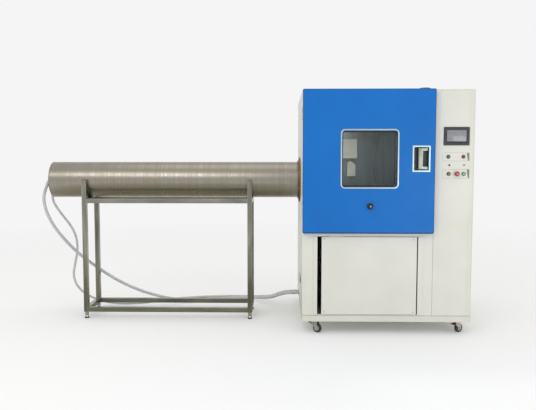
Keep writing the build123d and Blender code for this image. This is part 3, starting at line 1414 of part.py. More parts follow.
def caster_fork():
    """Pressed fork: a dished crown, two tapering cheeks and the axle bolt."""
    low, top = fork_crown()
    half = WHEEL_WIDTH / 2 + FORK_GAP
    outer = half + FORK_SHEET
    crown = block(-22, 34, -outer, outer, low, top)
    crown += rod((0, 0, low), (0, 0, 1), 26, top - low)
    crown -= rod((0, 0, low - 1), (0, 0, 1), KINGPIN + RUNNING, top - low + 2)
    cheek = Polyline(
        (-22, top),
        (-22, PEDAL_PIVOT[1] - 8),
        (-8, PEDAL_PIVOT[1] - 9),
        (WHEEL_TRAIL - 11, WHEEL_RADIUS - 4),
        (WHEEL_TRAIL - 6, WHEEL_RADIUS - 10),
        (WHEEL_TRAIL + 6, WHEEL_RADIUS - 10),
        (WHEEL_TRAIL + 11, WHEEL_RADIUS - 4),
        (34, top),
        close=True,
    )
    for side in (-outer, half):
        face = make_face(Plane(origin=(0, side, 0), x_dir=(1, 0, 0), z_dir=(0, -1, 0)) * cheek)
        crown += extrude(face, amount=-FORK_SHEET)
    axle = rod((WHEEL_TRAIL, -outer - 4, WHEEL_RADIUS), (0, 1, 0), AXLE, 2 * outer + 8)
    for side in (-outer - 4, outer):
        axle += rod((WHEEL_TRAIL, side, WHEEL_RADIUS), (0, 1, 0), AXLE + 3, 4)
    crown += axle
    pivot_x, pivot_z = PEDAL_PIVOT
    return crown - rod((pivot_x, -outer - 1, pivot_z), (0, 1, 0), PEDAL_PIN + RUNNING, 2 * outer + 2)


def caster_wheel():
    """Wheel turned with a bored hub, a thin web, a rim and a rounded tread."""
    half = WHEEL_WIDTH / 2
    profile = [
        (AXLE + RUNNING, -half - 1),
        (11, -half - 1),
        (13, -half + 5),
        (24, -half + 7),
        (27, -half + 1),
        (WHEEL_RADIUS - 4, -half),
        (WHEEL_RADIUS, -half + 6),
        (WHEEL_RADIUS, half - 6),
        (WHEEL_RADIUS - 4, half),
        (27, half - 1),
        (24, half - 7),
        (13, half - 5),
        (11, half + 1),
        (AXLE + RUNNING, half + 1),
    ]
    return revolved(profile, (WHEEL_TRAIL, 0, WHEEL_RADIUS), (0, 1, 0), (1, 0, 0))


def brake_pedal():
    """Brake pedal: a ribbed tread plate on a hub and pin between the fork's cheeks."""
    x, z = PEDAL_PIVOT
    half = WHEEL_WIDTH / 2
    section = Polyline((x, z + 6), (x - 34, z + 12), (x - 40, z + 9), (x - 40, z + 5), (x, z - 3), close=True)
    face = make_face(Plane(origin=(0, -half, 0), x_dir=(1, 0, 0), z_dir=(0, -1, 0)) * section)
    pedal = extrude(face, amount=-2 * half)
    pedal += rod((x, -half, z), (0, 1, 0), 6, 2 * half)
    outer = half + FORK_GAP + FORK_SHEET
    return pedal + rod((x, -outer, z), (0, 1, 0), PEDAL_PIN, 2 * outer)


# The whole

CORD_NODES = ("jet_hose_large", "jet_hose_small", "hose_ferrules")
NODES = {
    "base_frame": base_frame(),
    "left_side_panel": left_side_panel(),
    "right_side_panel": right_side_panel(),
    "top_cover": top_cover(),
    "rear_panel": rear_panel(),
    "front_frame": front_frame(),
    "column_panel": column_panel(),
    "chamber_liner": chamber_liner(),
    "touch_screen": touch_screen(),
    "indicator_lamps": indicator_lamps(),
    "button_bezels": button_bezels(),
    "stop_button": flat_button(STOP_X),
    "start_button": flat_button(START_X),
    "estop_button": estop_button(),
    "control_box": control_box(),
    "spray_tube": spray_tube(),
    "tube_flange": tube_flange(),
    "tube_end_plate": tube_end_plate(),
    "jet_nozzles": jet_nozzles(),
    "stand_posts": stand_posts(),
    "stand_rails": stand_rails(),
    "stand_saddles": stand_saddles(),
    "stand_feet": stand_feet(),
    "jet_hose_large": hose(0),
    "jet_hose_small": hose(1),
    "hose_ferrules": hose_ferrules(),
    "hose_spigots": hose_spigots(),
    "door_skin": door_skin(),
    "door_inner_panel": door_inner_panel(),
    "door_seal": door_seal(),
    "window_frame": window_frame(),
    "window_glass": window_glass(),
    "handle_recess": handle_recess(),
    "handle_lever": handle_lever(),
    "wiper_knob": wiper_knob(),
    "wiper_arm": wiper_arm(),
    "hinge_leaves_fixed": hinge_leaves_fixed(),
    "hinge_leaves_door": hinge_leaves_door(),
    "service_door": service_door(),
    "service_hinges": service_hinges(),
    "turntable": turntable(),
    "turntable_drive": turntable_drive(),
    "specimen_socket": specimen_socket(),
    "water_tank": water_tank(),
    "booster_pump": booster_pump(),
    "pipework": pipework(),
    "rear_fittings": rear_fittings(),
    "roof_vent": roof_vent(),
    "caster_plates": Compound(children=[set_caster(caster_plate(), corner) for corner in CASTER_YAWS]),
}
for corner in CASTER_YAWS:
    NODES["caster_fork_" + corner] = set_caster(caster_fork(), corner)
    NODES["caster_wheel_" + corner] = set_caster(caster_wheel(), corner)
for corner in ("front_left", "front_right"):
    NODES["brake_pedal_" + corner] = set_caster(brake_pedal(), corner)

boxes = [shape.bounding_box() for name, shape in NODES.items() if name not in CORD_NODES]
left, right = min(box.min.X for box in boxes), max(box.max.X for box in boxes)
front, back = min(box.min.Y for box in boxes), max(box.max.Y for box in boxes)
SHIFT = Vector(-(left + right) / 2, -(front + back) / 2, 0)
print("nodes", len(NODES), "width", right - left, "depth", back - front, "shift", SHIFT)
for name, shape in NODES.items():
    export_step(shape.moved(Location(SHIFT)), "parts/" + name + ".step")
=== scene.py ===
"""A wheeled water jet test chamber, its nozzle tube on a stand and its two hoses.

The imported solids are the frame. This script dresses them: it gives every solid a finish, builds the pieces
that need a finer shape than the solids have, and sets the studio, the lamps and the camera. Sizes inside the
classes are in millimetres, measured from the lower left front corner of the cabinet's door plane, with X to
the right, Y to the back and Z up, and the Shop class turns them into the frame's metres.
"""

from __future__ import annotations

import json
import logging
import math
from collections.abc import Sequence
from dataclasses import dataclass, field
from enum import Enum
from typing import Any

import bmesh
import bpy
from bmesh.types import BMesh, BMFace, BMVert
from bpy.types import ID, Material, Node, NodeSocket, NodeTree, Object
from mathutils import Matrix, Vector

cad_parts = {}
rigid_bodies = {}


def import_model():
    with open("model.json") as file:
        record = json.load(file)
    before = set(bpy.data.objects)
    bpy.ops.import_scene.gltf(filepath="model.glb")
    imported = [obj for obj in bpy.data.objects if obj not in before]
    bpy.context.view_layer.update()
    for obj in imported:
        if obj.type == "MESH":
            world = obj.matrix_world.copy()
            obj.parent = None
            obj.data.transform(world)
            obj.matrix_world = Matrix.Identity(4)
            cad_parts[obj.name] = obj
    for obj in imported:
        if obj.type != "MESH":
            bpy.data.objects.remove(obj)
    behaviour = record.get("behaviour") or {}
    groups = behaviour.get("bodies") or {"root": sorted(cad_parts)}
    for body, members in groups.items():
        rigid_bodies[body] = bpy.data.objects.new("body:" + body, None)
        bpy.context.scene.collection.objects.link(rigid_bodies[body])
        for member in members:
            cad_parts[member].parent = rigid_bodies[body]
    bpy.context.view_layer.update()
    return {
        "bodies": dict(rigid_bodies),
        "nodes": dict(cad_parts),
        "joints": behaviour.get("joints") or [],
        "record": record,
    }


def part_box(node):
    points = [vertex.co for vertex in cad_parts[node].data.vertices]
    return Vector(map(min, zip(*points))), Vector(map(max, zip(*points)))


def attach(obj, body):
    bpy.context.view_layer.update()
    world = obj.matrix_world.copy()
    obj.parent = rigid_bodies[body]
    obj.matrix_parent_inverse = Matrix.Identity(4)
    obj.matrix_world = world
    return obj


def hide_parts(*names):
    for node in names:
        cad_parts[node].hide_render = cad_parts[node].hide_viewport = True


LOG = logging.getLogger("chamber")
MM = 0.001
CORNERS = ("front_left", "front_right", "rear_left", "rear_right")
Point = tuple[float, float, float]
Flat = tuple[float, float]


def linear(code: str) -> tuple[float, float, float, float]:
    """Turns an sRGB hex colour into linear red, green, blue and alpha.

    Args:
        code: Six hex digits.

    Returns:
        The colour as the shader sockets read it.
    """
    channels = [int(code[i : i + 2], 16) / 255 for i in (0, 2, 4)]
    red, green, blue = [c / 12.92 if c <= 0.04045 else ((c + 0.055) / 1.055) ** 2.4 for c in channels]
    return red, green, blue, 1.0


def add_node(
    tree: NodeTree,
    kind: str,
    settings: dict[Any, Any] | None = None,
    links: dict[Any, NodeSocket] | None = None,
) -> Node:
    """Adds a node to a tree.

    Args:
        tree: The tree that gets the node.
        kind: The node's type name.
        settings: Input values by socket name or number, and properties by name.
        links: Sockets that feed the inputs, by input name or number.

    Returns:
        The new node.
    """
    node = tree.nodes.new(kind)
    for key, value in (settings or {}).items():
        if isinstance(key, int) or key in node.inputs:
            node.inputs[key].default_value = value
        else:
            setattr(node, key, value)
    for key, socket in (links or {}).items():
        tree.links.new(socket, node.inputs[key])
    return node


def put(name: str, data: ID) -> Object:
    """Puts a mesh, curve, lamp or camera in the scene, at the origin and unturned."""
    thing = bpy.data.objects.new(name, data)
    bpy.context.scene.collection.objects.link(thing)
    return thing


class Lay(Enum):
    """Direction in which a brushed sheet's lines run."""

    ALONG_X = (4.0, 1.0, 1.0)
    ALONG_Z = (1.0, 1.0, 4.0)
    ROUND_X = (1.0, 4.0, 4.0)


@dataclass(frozen=True)
class Finish:
    """What every finish shares: a name, two tones that it wanders between, and its gloss."""

    name: str
    tint: str
    shade: str
    roughness: float
    grain: float = 4.0
    relief: float = 0.05
    edge: float = 1.2

    def build(self) -> Material:
        """Makes the material: an empty tree with a shader, which the kind of finish then dresses."""
        material = bpy.data.materials.new(self.name)
        material.use_nodes = True
        tree = material.node_tree
        tree.nodes.clear()
        shader = add_node(tree, "ShaderNodeBsdfPrincipled", {"Roughness": self.roughness})
        add_node(tree, "ShaderNodeOutputMaterial", {}, {"Surface": shader.outputs["BSDF"]})
        self.skin(tree, shader)
        return material

    def place(self, tree: NodeTree, scale: Point = (1.0, 1.0, 1.0)) -> NodeSocket:
        """Gives object coordinates, stretched by a scale."""
        where = add_node(tree, "ShaderNodeTexCoord")
        mapping = add_node(tree, "ShaderNodeMapping", {"Scale": scale}, {"Vector": where.outputs["Object"]})
        return mapping.outputs["Vector"]

    def noise(self, tree: NodeTree, size: float, detail: float, scale: Point = (1.0, 1.0, 1.0)) -> NodeSocket:
        """Gives a noise pattern.

        Args:
            tree: The material's tree.
            size: Size of a spot in millimetres.
            detail: Octaves of finer noise.
            scale: Stretch along X, Y and Z: a larger number makes the pattern finer that way.

        Returns:
            The noise's factor, from 0 to 1.
        """
        node = add_node(
            tree,
            "ShaderNodeTexNoise",
            {"Scale": 1 / (size * MM), "Detail": detail, "Roughness": 0.55},
            {"Vector": self.place(tree, scale)},
        )
        return node.outputs["Fac"]

    def span(self, tree: NodeTree, source: NodeSocket, low: float, high: float) -> NodeSocket:
        """Spreads a noise factor over a range of values."""
        node = add_node(tree, "ShaderNodeMapRange", {1: 0.32, 2: 0.68, 3: low, 4: high}, {0: source})
        return node.outputs[0]

    def paint(
        self,
        tree: NodeTree,
        shader: Node,
        pattern: NodeSocket,
        second: str = "",
        reach: float = 1.0,
    ) -> None:
        """Colours a shader with two tones.

        Args:
            tree: The material's tree.
            shader: Its shader.
            pattern: The factor that blends the tones.
            second: The second tone, where it isn't the finish's shade.
            reach: Largest share of the second tone.
        """
        both = {6: linear(self.tint), 7: linear(second or self.shade)}
        factor = self.span(tree, pattern, 0.0, reach)
        tones = add_node(tree, "ShaderNodeMix", {"data_type": "RGBA", **both}, {0: factor})
        tree.links.new(tones.outputs[2], shader.inputs["Base Color"])

    def dull(self, tree: NodeTree, shader: Node, pattern: NodeSocket, less: float, more: float) -> None:
        """Lets the roughness wander by a pattern, from less below to more above its own value."""
        value = self.span(tree, pattern, self.roughness - less, self.roughness + more)
        tree.links.new(value, shader.inputs["Roughness"])

    def soft_edges(self, tree: NodeTree) -> NodeSocket:
        """Gives a normal that is rounded over the sharp edges of the sheet."""
        node = add_node(tree, "ShaderNodeBevel", {"samples": 4, "Radius": self.edge * MM})
        return node.outputs["Normal"]

    def bump(self, tree: NodeTree, shader: Node, height: NodeSocket) -> None:
        """Raises a height pattern, as deep as the finish's relief, on the rounded normal.

        Args:
            tree: The material's tree.
            shader: Its shader.
            height: The pattern.
        """
        node = add_node(
            tree,
            "ShaderNodeBump",
            {"Strength": 1.0, "Distance": self.relief * MM},
            {"Height": height, "Normal": self.soft_edges(tree)},
        )
        tree.links.new(node.outputs["Normal"], shader.inputs["Normal"])

    def skin(self, tree: NodeTree, shader: Node) -> None:
        """Adds the nodes of this kind of finish to the shader."""
        raise NotImplementedError


@dataclass(frozen=True)
class PowderCoat(Finish):
    """Polyester powder coat on sheet steel, sprayed and baked: an even satin skin with a faint orange peel."""

    gloss: float = 0.5

    def skin(self, tree: NodeTree, shader: Node) -> None:
        """Makes the coat, with its slow drift of tone and a peel that is drawn coarser than the real 1.5 mm."""
        shader.inputs["Specular IOR Level"].default_value = self.gloss
        drift = self.noise(tree, 420.0, 2.0)
        self.paint(tree, shader, drift)
        smear = self.noise(tree, 160.0, 3.0)
        self.dull(tree, shader, smear, 0.05, 0.06)
        peel = self.noise(tree, self.grain, 2.0)
        self.bump(tree, shader, peel)


@dataclass(frozen=True)
class BrushedSteel(Finish):
    """Stainless sheet or tube ground with a belt: long fine lines that stretch every highlight."""

    lay: Lay = Lay.ALONG_X
    line: float = 2.0
    band: float = 26.0
    metal: float = 1.0
    broad: float = 0.3
    patch: float = 30.0
    streak: float = 90.0

    def stretch(self, ratio: float) -> Point:
        """Stretch of the pattern: fine across the lines, and ratio times longer along them."""
        x, y, z = (1 / ratio if axis > 1 else 1.0 for axis in self.lay.value)
        return x, y, z

    def skin(self, tree: NodeTree, shader: Node) -> None:
        """Makes the steel; the belt's 0.3 mm lines are drawn wider so that they show at this distance."""
        shader.inputs["Metallic"].default_value = self.metal
        fine = self.noise(tree, self.line, 3.0, self.stretch(self.streak))
        # Broad patches: random tone; on the stand's rail and posts, with broad 0.7, they are painted reflections of
        # the surroundings.
        broad = self.noise(tree, self.band, 2.0, self.stretch(self.patch))
        mixed = add_node(tree, "ShaderNodeMix", {0: self.broad}, {2: fine, 3: broad}).outputs[0]
        self.paint(tree, shader, mixed)
        self.dull(tree, shader, mixed, 0.06, 0.08)
        self.bump(tree, shader, fine)


@dataclass(frozen=True)
class Plated(Finish):
    """Zinc or chrome plate on pressed steel: bright, a little cloudy, with duller patches."""

    def skin(self, tree: NodeTree, shader: Node) -> None:
        """Makes the plate with its clouding."""
        shader.inputs["Metallic"].default_value = 1.0
        cloud = self.noise(tree, self.grain * 4, 4.0)
        self.paint(tree, shader, cloud)
        self.dull(tree, shader, cloud, 0.05, 0.12)
        self.bump(tree, shader, self.noise(tree, self.grain, 2.0))


@dataclass(frozen=True)
class Moulded(Finish):
    """Injection moulded ABS or nylon: a spark-eroded grain that breaks the gloss."""

    coat: float = 0.0

    def skin(self, tree: NodeTree, shader: Node) -> None:
        """Makes the plastic with its grain and a slight drift of tone."""
        shader.inputs["IOR"].default_value = 1.53
        shader.inputs["Coat Weight"].default_value = self.coat
        shader.inputs["Coat Roughness"].default_value = 0.08
        drift = self.noise(tree, self.grain * 24, 2.0)
        self.paint(tree, shader, drift)
        grain = self.noise(tree, self.grain, 2.0)
        self.dull(tree, shader, grain, 0.04, 0.06)
        self.bump(tree, shader, grain)


@dataclass(frozen=True)
class Rubber(Finish):
    """Vulcanised rubber or soft vinyl: matt, with a greyish bloom."""

    bloom: str = "4A4B4C"

    def skin(self, tree: NodeTree, shader: Node) -> None:
        """Makes the rubber with its bloom in patches."""
        shader.inputs["IOR"].default_value = 1.5
        patches = self.noise(tree, 18.0, 4.0)
        self.paint(tree, shader, patches, self.bloom, 0.5)
        grain = self.noise(tree, self.grain, 2.0)
        self.bump(tree, shader, grain)


@dataclass(frozen=True)
class HoseVinyl(Finish):
    """Clear-grey reinforced vinyl hose, extruded: a soft sheen, with the spiral of its ply just visible."""

    pitch: float = 16.0

    def skin(self, tree: NodeTree, shader: Node) -> None:
        """Makes the hose skin; the ply runs round the curve in its own UV map."""
        shader.inputs["IOR"].default_value = 1.52
        shader.inputs["Subsurface Weight"].default_value = 0.15
        shader.inputs["Subsurface Scale"].default_value = 0.004
        cloud = self.noise(tree, 60.0, 3.0)
        self.paint(tree, shader, cloud)
        where = add_node(tree, "ShaderNodeTexCoord")
        ply = add_node(
            tree,
            "ShaderNodeTexWave",
            {"Scale": 3400 / self.pitch, "Distortion": 0.4, "bands_direction": "DIAGONAL"},
            {"Vector": where.outputs["UV"]},
        )
        self.bump(tree, shader, ply.outputs["Fac"])


@dataclass(frozen=True)
class Pane(Finish):
    """Toughened float glass: clear, with a grey cast and faint wipe marks."""

    alpha: float = 0.3

    def skin(self, tree: NodeTree, shader: Node) -> None:
        """Makes the glass with its wipe marks in the gloss."""
        shader.inputs["IOR"].default_value = 1.5
        shader.inputs["Alpha"].default_value = self.alpha
        smear = self.noise(tree, 90.0, 4.0, (1.0, 1.0, 0.25))
        self.paint(tree, shader, smear)
        self.dull(tree, shader, smear, 0.0, 0.12)


@dataclass(frozen=True)
class Lens(Finish):
    """Moulded acrylic lens over a lamp: deep colour with a clear gloss on top."""

    glow: float = 0.0

    def skin(self, tree: NodeTree, shader: Node) -> None:
        """Makes the lens with its ribbed inside showing as a ring pattern of tone."""
        shader.inputs["IOR"].default_value = 1.49
        shader.inputs["Coat Weight"].default_value = 0.8
        shader.inputs["Coat Roughness"].default_value = 0.04
        shader.inputs["Emission Color"].default_value = linear(self.tint)
        shader.inputs["Emission Strength"].default_value = self.glow
        ribs = self.noise(tree, self.grain, 1.0)
        self.paint(tree, shader, ribs)
        tree.links.new(self.soft_edges(tree), shader.inputs["Normal"])


class Finishes(Enum):
    """The finishes of the chamber, each named for what it is."""

    # Coats: a slow drift of tone keeps the large sheets from looking flat, and their edges catch the light.
    CABINET = PowderCoat("satin_light_grey_powder_coat", "DFDFD6", "D8D8CE", 0.42, 6.0, 0.05, 1.5)
    PLINTH = PowderCoat("satin_light_grey_plinth_coat", "DCDCD0", "D4D4C8", 0.45, 6.0, 0.05, 1.5)
    DOOR = PowderCoat("satin_blue_powder_coat", "006EC4", "0069BC", 0.38, 6.0, 0.03, 2.0, gloss=0.28)
    # Painted shade: this darker navy on the door's folded edge stands for the shade on its rim and the shadow under
    # its bottom.
    DOOR_EDGE = PowderCoat("painted_shade_door_rim_coat", "0B3C7E", "093670", 0.40, 6.0, 0.04, 1.0, gloss=0.3)
    # Ground and drawn steel: the lines stretch the lamps into streaks; the liner's run down, the tube's round.
    LINER = BrushedSteel(
        "brushed_stainless_liner", "AAB0B0", "7C8383", 0.30, 3.0, 0.01, 1.0, Lay.ALONG_Z, 4.0, 90.0, 1.0, 0.6, 8.0
    )
    TUBE = BrushedSteel(
        "belt_ground_stainless_tube", "A8A297", "989285", 0.30, 3.0, 0.001, 1.0, Lay.ROUND_X, 11.0, 90.0, broad=0.3
    )
    FLANGE = BrushedSteel("turned_stainless_flange", "8F7A62", "6E5B47", 0.38, 3.0, 0.03, 1.5, Lay.ROUND_X, 3.0)
    # Painted reflection: the rail's and posts' strong light and dark patches and their darker tones stand for the
    # surroundings mirrored in the steel.
    RAIL = BrushedSteel(
        "drawn_steel_rail_painted_reflections", "ACAA9F", "73716A", 0.24, 3.0, 0.002, 2.0, Lay.ALONG_X, 6.0, 70.0, broad=0.7, patch=5.0
    )
    POST = BrushedSteel(
        "drawn_steel_post_painted_reflections", "A9A79C", "6E6C63", 0.24, 3.0, 0.002, 2.0, Lay.ALONG_Z, 6.0, 70.0, broad=0.7, patch=5.0
    )
    PLATE = BrushedSteel("satin_stainless_plate", "B6B8B8", "9A9C9C", 0.32, 3.0, 0.02, 1.0, Lay.ALONG_X, 2.5)
    TRIM = BrushedSteel("satin_aluminium_trim", "BDD2DD", "AAC1CE", 0.30, 3.0, 0.02, 1.0, Lay.ALONG_X, 2.5)
    LEVER = BrushedSteel("cast_aluminium_lever", "B4BCB6", "949C94", 0.36, 3.0, 0.03, 2.0, Lay.ALONG_Z, 3.0)
    # Plate: the smallest and brightest highlights of the chamber, on fittings, casters and screws.
    CHROME = Plated("bright_chrome_plate", "D2D4D4", "B8BABA", 0.14, 5.0, 0.01, 1.0)
    ZINC = Plated("bright_zinc_plate", "C9C8C0", "A5A49C", 0.26, 5.0, 0.02, 1.0)
    # Iron and rubber: the dark, matt parts, lumpy on the castings and dusty on the rubber.
    IRON = PowderCoat("enamelled_cast_iron", "35536E", "2C475F", 0.45, 3.0, 0.25, 2.0)
    SEAL = Rubber("black_moulded_rubber", "1C1D1E", "1C1D1E", 0.75, 2.0, 0.05, 1.0)
    TYRE = Rubber("black_tyre_rubber", "232324", "232324", 0.62, 2.0, 0.05, 1.0)
    HOSE = HoseVinyl("grey_reinforced_vinyl_hose", "CFCFD1", "C0C0C3", 0.36, 4.0, 0.12, 0.5)
    # Mouldings: an even, soft sheen without streaks.
    BLACK = Moulded("black_moulded_nylon", "0E0F12", "15161A", 0.40, 1.5, 0.05, 1.0)
    BEZEL = Moulded("charcoal_moulded_bezel", "303238", "2A2C31", 0.42, 1.5, 0.04, 1.5)
    PALE = Moulded("pale_grey_moulded_plastic", "CFCDBF", "C3C1B3", 0.46, 2.0, 0.05, 1.5)
    GREY = Moulded("grey_moulded_plastic", "9B9D9F", "8D8F92", 0.45, 2.0, 0.05, 1.5)
    PEDAL = Moulded("dark_red_moulded_nylon", "6E2A24", "5A211D", 0.45, 2.0, 0.06, 1.5)
    # Lenses and caps: deep colour under a sharp highlight; the start button looks lit.
    GREEN_LENS = Lens("green_acrylic_lens", "1E6A44", "124A30", 0.18, 2.0)
    RED_LENS = Lens("red_acrylic_lens", "8E1F24", "6A1418", 0.18, 2.0)
    RED_CAP = Lens("red_moulded_cap", "B21F2C", "98182A", 0.30, 3.0)
    DARK_RED_CAP = Lens("dark_red_moulded_cap", "6B171A", "531013", 0.28, 3.0)
    GREEN_CAP = Lens("lit_green_cap", "3FA86C", "2B8C56", 0.28, 3.0, glow=0.15)
    SCREEN = Lens("matt_glass_screen", "8C8C95", "83838D", 0.30, 30.0)
    GLASS = Pane("clear_toughened_glass", "7C8888", "6C787C", 0.05, alpha=0.07)
    # Others: the card that darkens the tube's underside, the roof vent, printed lines, the latch's tray.
    FLAG = Moulded("matt_olive_card", "BEC0AC", "B8BAA6", 0.9, 4.0, 0.01, 1.0)
    VENT = Moulded("slate_moulded_vent", "5E7688", "546B7C", 0.45, 2.0, 0.05, 1.5)
    PRINT = Moulded("printed_grey_line", "A9ABA0", "9FA196", 0.55, 2.0, 0.01, 0.2)
    PRINT_END = Moulded("printed_olive_field", "7C8266", "6F755B", 0.55, 2.0, 0.01, 0.2)
    TRAY = PowderCoat("dark_pressed_tray", "3C443F", "2E3530", 0.40, 4.0, 0.04, 1.0)
    # Painted highlight: the pale red dome on the stop mushroom's crown stands for the lamps' highlight there.
    PINK_CAP = Lens("painted_highlight_on_red_cap", "D98A8C", "CF7A7D", 0.32, 3.0)
    LAMP_GLASS = Lens("frosted_lamp_glass", "EEF0EA", "E4E7E0", 0.35, 3.0, glow=0.6)

    def material(self) -> Material:
        """Gives the finish's material, made the first time that it is asked for."""
        return bpy.data.materials.get(self.value.name) or self.value.build()


class Shop:
    """Turns millimetres into the frame's metres and puts finished pieces in the scene."""

    FRONT_SHEET = 50.0

    def __init__(self, frame: dict[str, Any]) -> None:
        """Finds the cabinet's corner from the plinth, which starts at the front sheet's plane."""
        low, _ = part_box("base_frame")
        self.frame = frame
        self.corner = Vector((low.x, low.y - self.FRONT_SHEET * MM, 0.0))

    def at(self, x: float, y: float, z: float) -> Vector:
        """Gives a point of the frame from millimetres."""
        return self.corner + Vector((x, y, z)) * MM

    def dress(self, finish: Finishes, *nodes: str) -> None:
        """Gives solids of the frame a finish.

        Args:
            finish: The finish.
            nodes: Names of the solids.
        """
        for name in nodes:
            mesh = self.frame["nodes"][name].data
            mesh.materials.clear()
            mesh.materials.append(finish.material())
        LOG.info("%s: %s", finish.value.name, ", ".join(nodes))

    def piece(
        self,
        name: str,
        mesh: BMesh,
        finish: Finishes,
        body: str = "cabinet",
        replaces: Sequence[str] = (),
        smooth: float = 35.0,
    ) -> Object:
        """Turns a bmesh in millimetres into a piece of the scene that rides on a body.

        Args:
            name: The piece's name.
            mesh: The shape, in millimetres.
            finish: Its finish.
            body: The body that it moves with.
            replaces: Solids of the frame that it stands for.
            smooth: Edges sharper than this angle, in degrees, stay sharp.

        Returns:
            The piece.
        """
        bmesh.ops.remove_doubles(mesh, verts=mesh.verts, dist=0.001)
        bmesh.ops.recalc_face_normals(mesh, faces=mesh.faces)
        bmesh.ops.transform(mesh, matrix=Matrix.Translation(self.corner) @ Matrix.Scale(MM, 4), verts=mesh.verts)
        for face in mesh.faces:
            face.smooth = True
        for edge in mesh.edges:
            if len(edge.link_faces) == 2:
                edge.smooth = edge.calc_face_angle(0.0) < math.radians(smooth)
        data = bpy.data.meshes.new(name)
        mesh.to_mesh(data)
        mesh.free()
        data.materials.append(finish.material())
        thing = put(name, data)
        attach(thing, body)
        if replaces:
            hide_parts(*replaces)
        LOG.info("%s on %s: %d faces", name, body, len(data.polygons))
        return thing


def round_off(mesh: BMesh, parts: list[Any], width: float, segments: int, affect: str = "EDGES") -> list[BMFace]:
    """Rounds edges or corners and gives the faces that this makes."""
    done = bmesh.ops.bevel(
        mesh, geom=parts, offset=width, segments=segments, profile=0.5, affect=affect, material=-1
    )
    return done["faces"]


def thicken(mesh: BMesh, faces: list[BMFace], by: Point) -> None:
    """Gives faces a thickness: they stay, and a copy of them moves by a vector."""
    grown = bmesh.ops.extrude_face_region(mesh, geom=faces, use_keep_orig=True)["geom"]
    moved = [item for item in grown if isinstance(item, BMVert)]
    bmesh.ops.translate(mesh, vec=Vector(by), verts=moved)


def slab(mesh: BMesh, low: Point, high: Point, bevel: float = 0.0, segments: int = 2) -> list[BMVert]:
    """Adds a box between two corners, with its edges rounded.

    Args:
        mesh: The bmesh that gets the box.
        low: Lowest corner.
        high: Highest corner.
        bevel: Width of the rounded edges.
        segments: Facets of each rounded edge.

    Returns:
        The box's vertices.
    """
    made = bmesh.ops.create_cube(mesh, size=1.0)["verts"]
    size = Vector(high) - Vector(low)
    bmesh.ops.scale(mesh, vec=size, verts=made)
    bmesh.ops.translate(mesh, vec=(Vector(high) + Vector(low)) / 2, verts=made)
    if bevel <= 0:
        return made
    edges = list({edge for vert in made for edge in vert.link_edges})
    faces = round_off(mesh, edges, bevel, segments)
    return list({vert for face in faces for vert in face.verts})


def lathe(mesh: BMesh, profile: Sequence[Flat], centre: Point, axis: Point, steps: int = 40) -> list[BMVert]:
    """Turns a profile round an axis.

    Args:
        mesh: The bmesh that gets the turned shape.
        profile: Points as radius and height along the axis.
        centre: Where height is nought.
        axis: Direction of the axis.
        steps: Facets round it.

    Returns:
        The shape's vertices.
    """
    along = Vector(axis).normalized()
    side = along.orthogonal().normalized()
    verts = [mesh.verts.new(Vector(centre) + side * radius + along * height) for radius, height in profile]
    edges = [mesh.edges.new(pair) for pair in zip(verts, verts[1:])]
    spun = bmesh.ops.spin(
        mesh,
        geom=[*verts, *edges],
        cent=Vector(centre),
        axis=along,
        angle=math.tau,
        steps=steps,
        use_merge=True,
    )
    found = {item for item in spun["geom_last"] if isinstance(item, BMVert)} | set(verts)
    linked: set[BMVert] = set()
    front = list(found)
    while front:
        vert = front.pop()
        if vert in linked:
            continue
        linked.add(vert)
        front.extend(edge.other_vert(vert) for edge in vert.link_edges)
    bmesh.ops.remove_doubles(mesh, verts=list(linked), dist=0.01)
    return [vert for vert in linked if vert.is_valid]


def turned(profile: Sequence[Flat], centre: Point, axis: Point, steps: int = 40) -> BMesh:
    """Gives a bmesh that holds one turned shape, made by lathe."""
    mesh = bmesh.new()
    lathe(mesh, profile, centre, axis, steps)
    return mesh


def rounded_face(mesh: BMesh, x0: float, x1: float, z0: float, z1: float, y: float, corner: float) -> BMFace:
    """Adds an upright rectangle with round corners that faces the front.

    Args:
        mesh: The bmesh that gets the face.
        x0: Left edge.
        x1: Right edge.
        z0: Lower edge.
        z1: Upper edge.
        y: Depth at which it stands.
        corner: Radius of its corners.

    Returns:
        The face.
    """
    made = bmesh.ops.create_grid(mesh, x_segments=1, y_segments=1, size=0.5)["verts"]
    bmesh.ops.rotate(mesh, cent=Vector(), matrix=Matrix.Rotation(math.pi / 2, 3, "X"), verts=made)
    bmesh.ops.scale(mesh, vec=Vector((x1 - x0, 1.0, z1 - z0)), verts=made)
    bmesh.ops.translate(mesh, vec=Vector(((x0 + x1) / 2, y, (z0 + z1) / 2)), verts=made)
    face = made[0].link_faces[0]
    if corner <= 0:
        return face
    round_off(mesh, made, corner, 8, "VERTICES")
    return max((f for f in mesh.faces if abs(f.calc_center_median().y - y) < 1e-3), key=newest)


def newest(face: BMFace) -> int:
    """Gives the number of corners, by which the face that was just rounded is found."""
    return len(face.verts) * 1000 + face.index


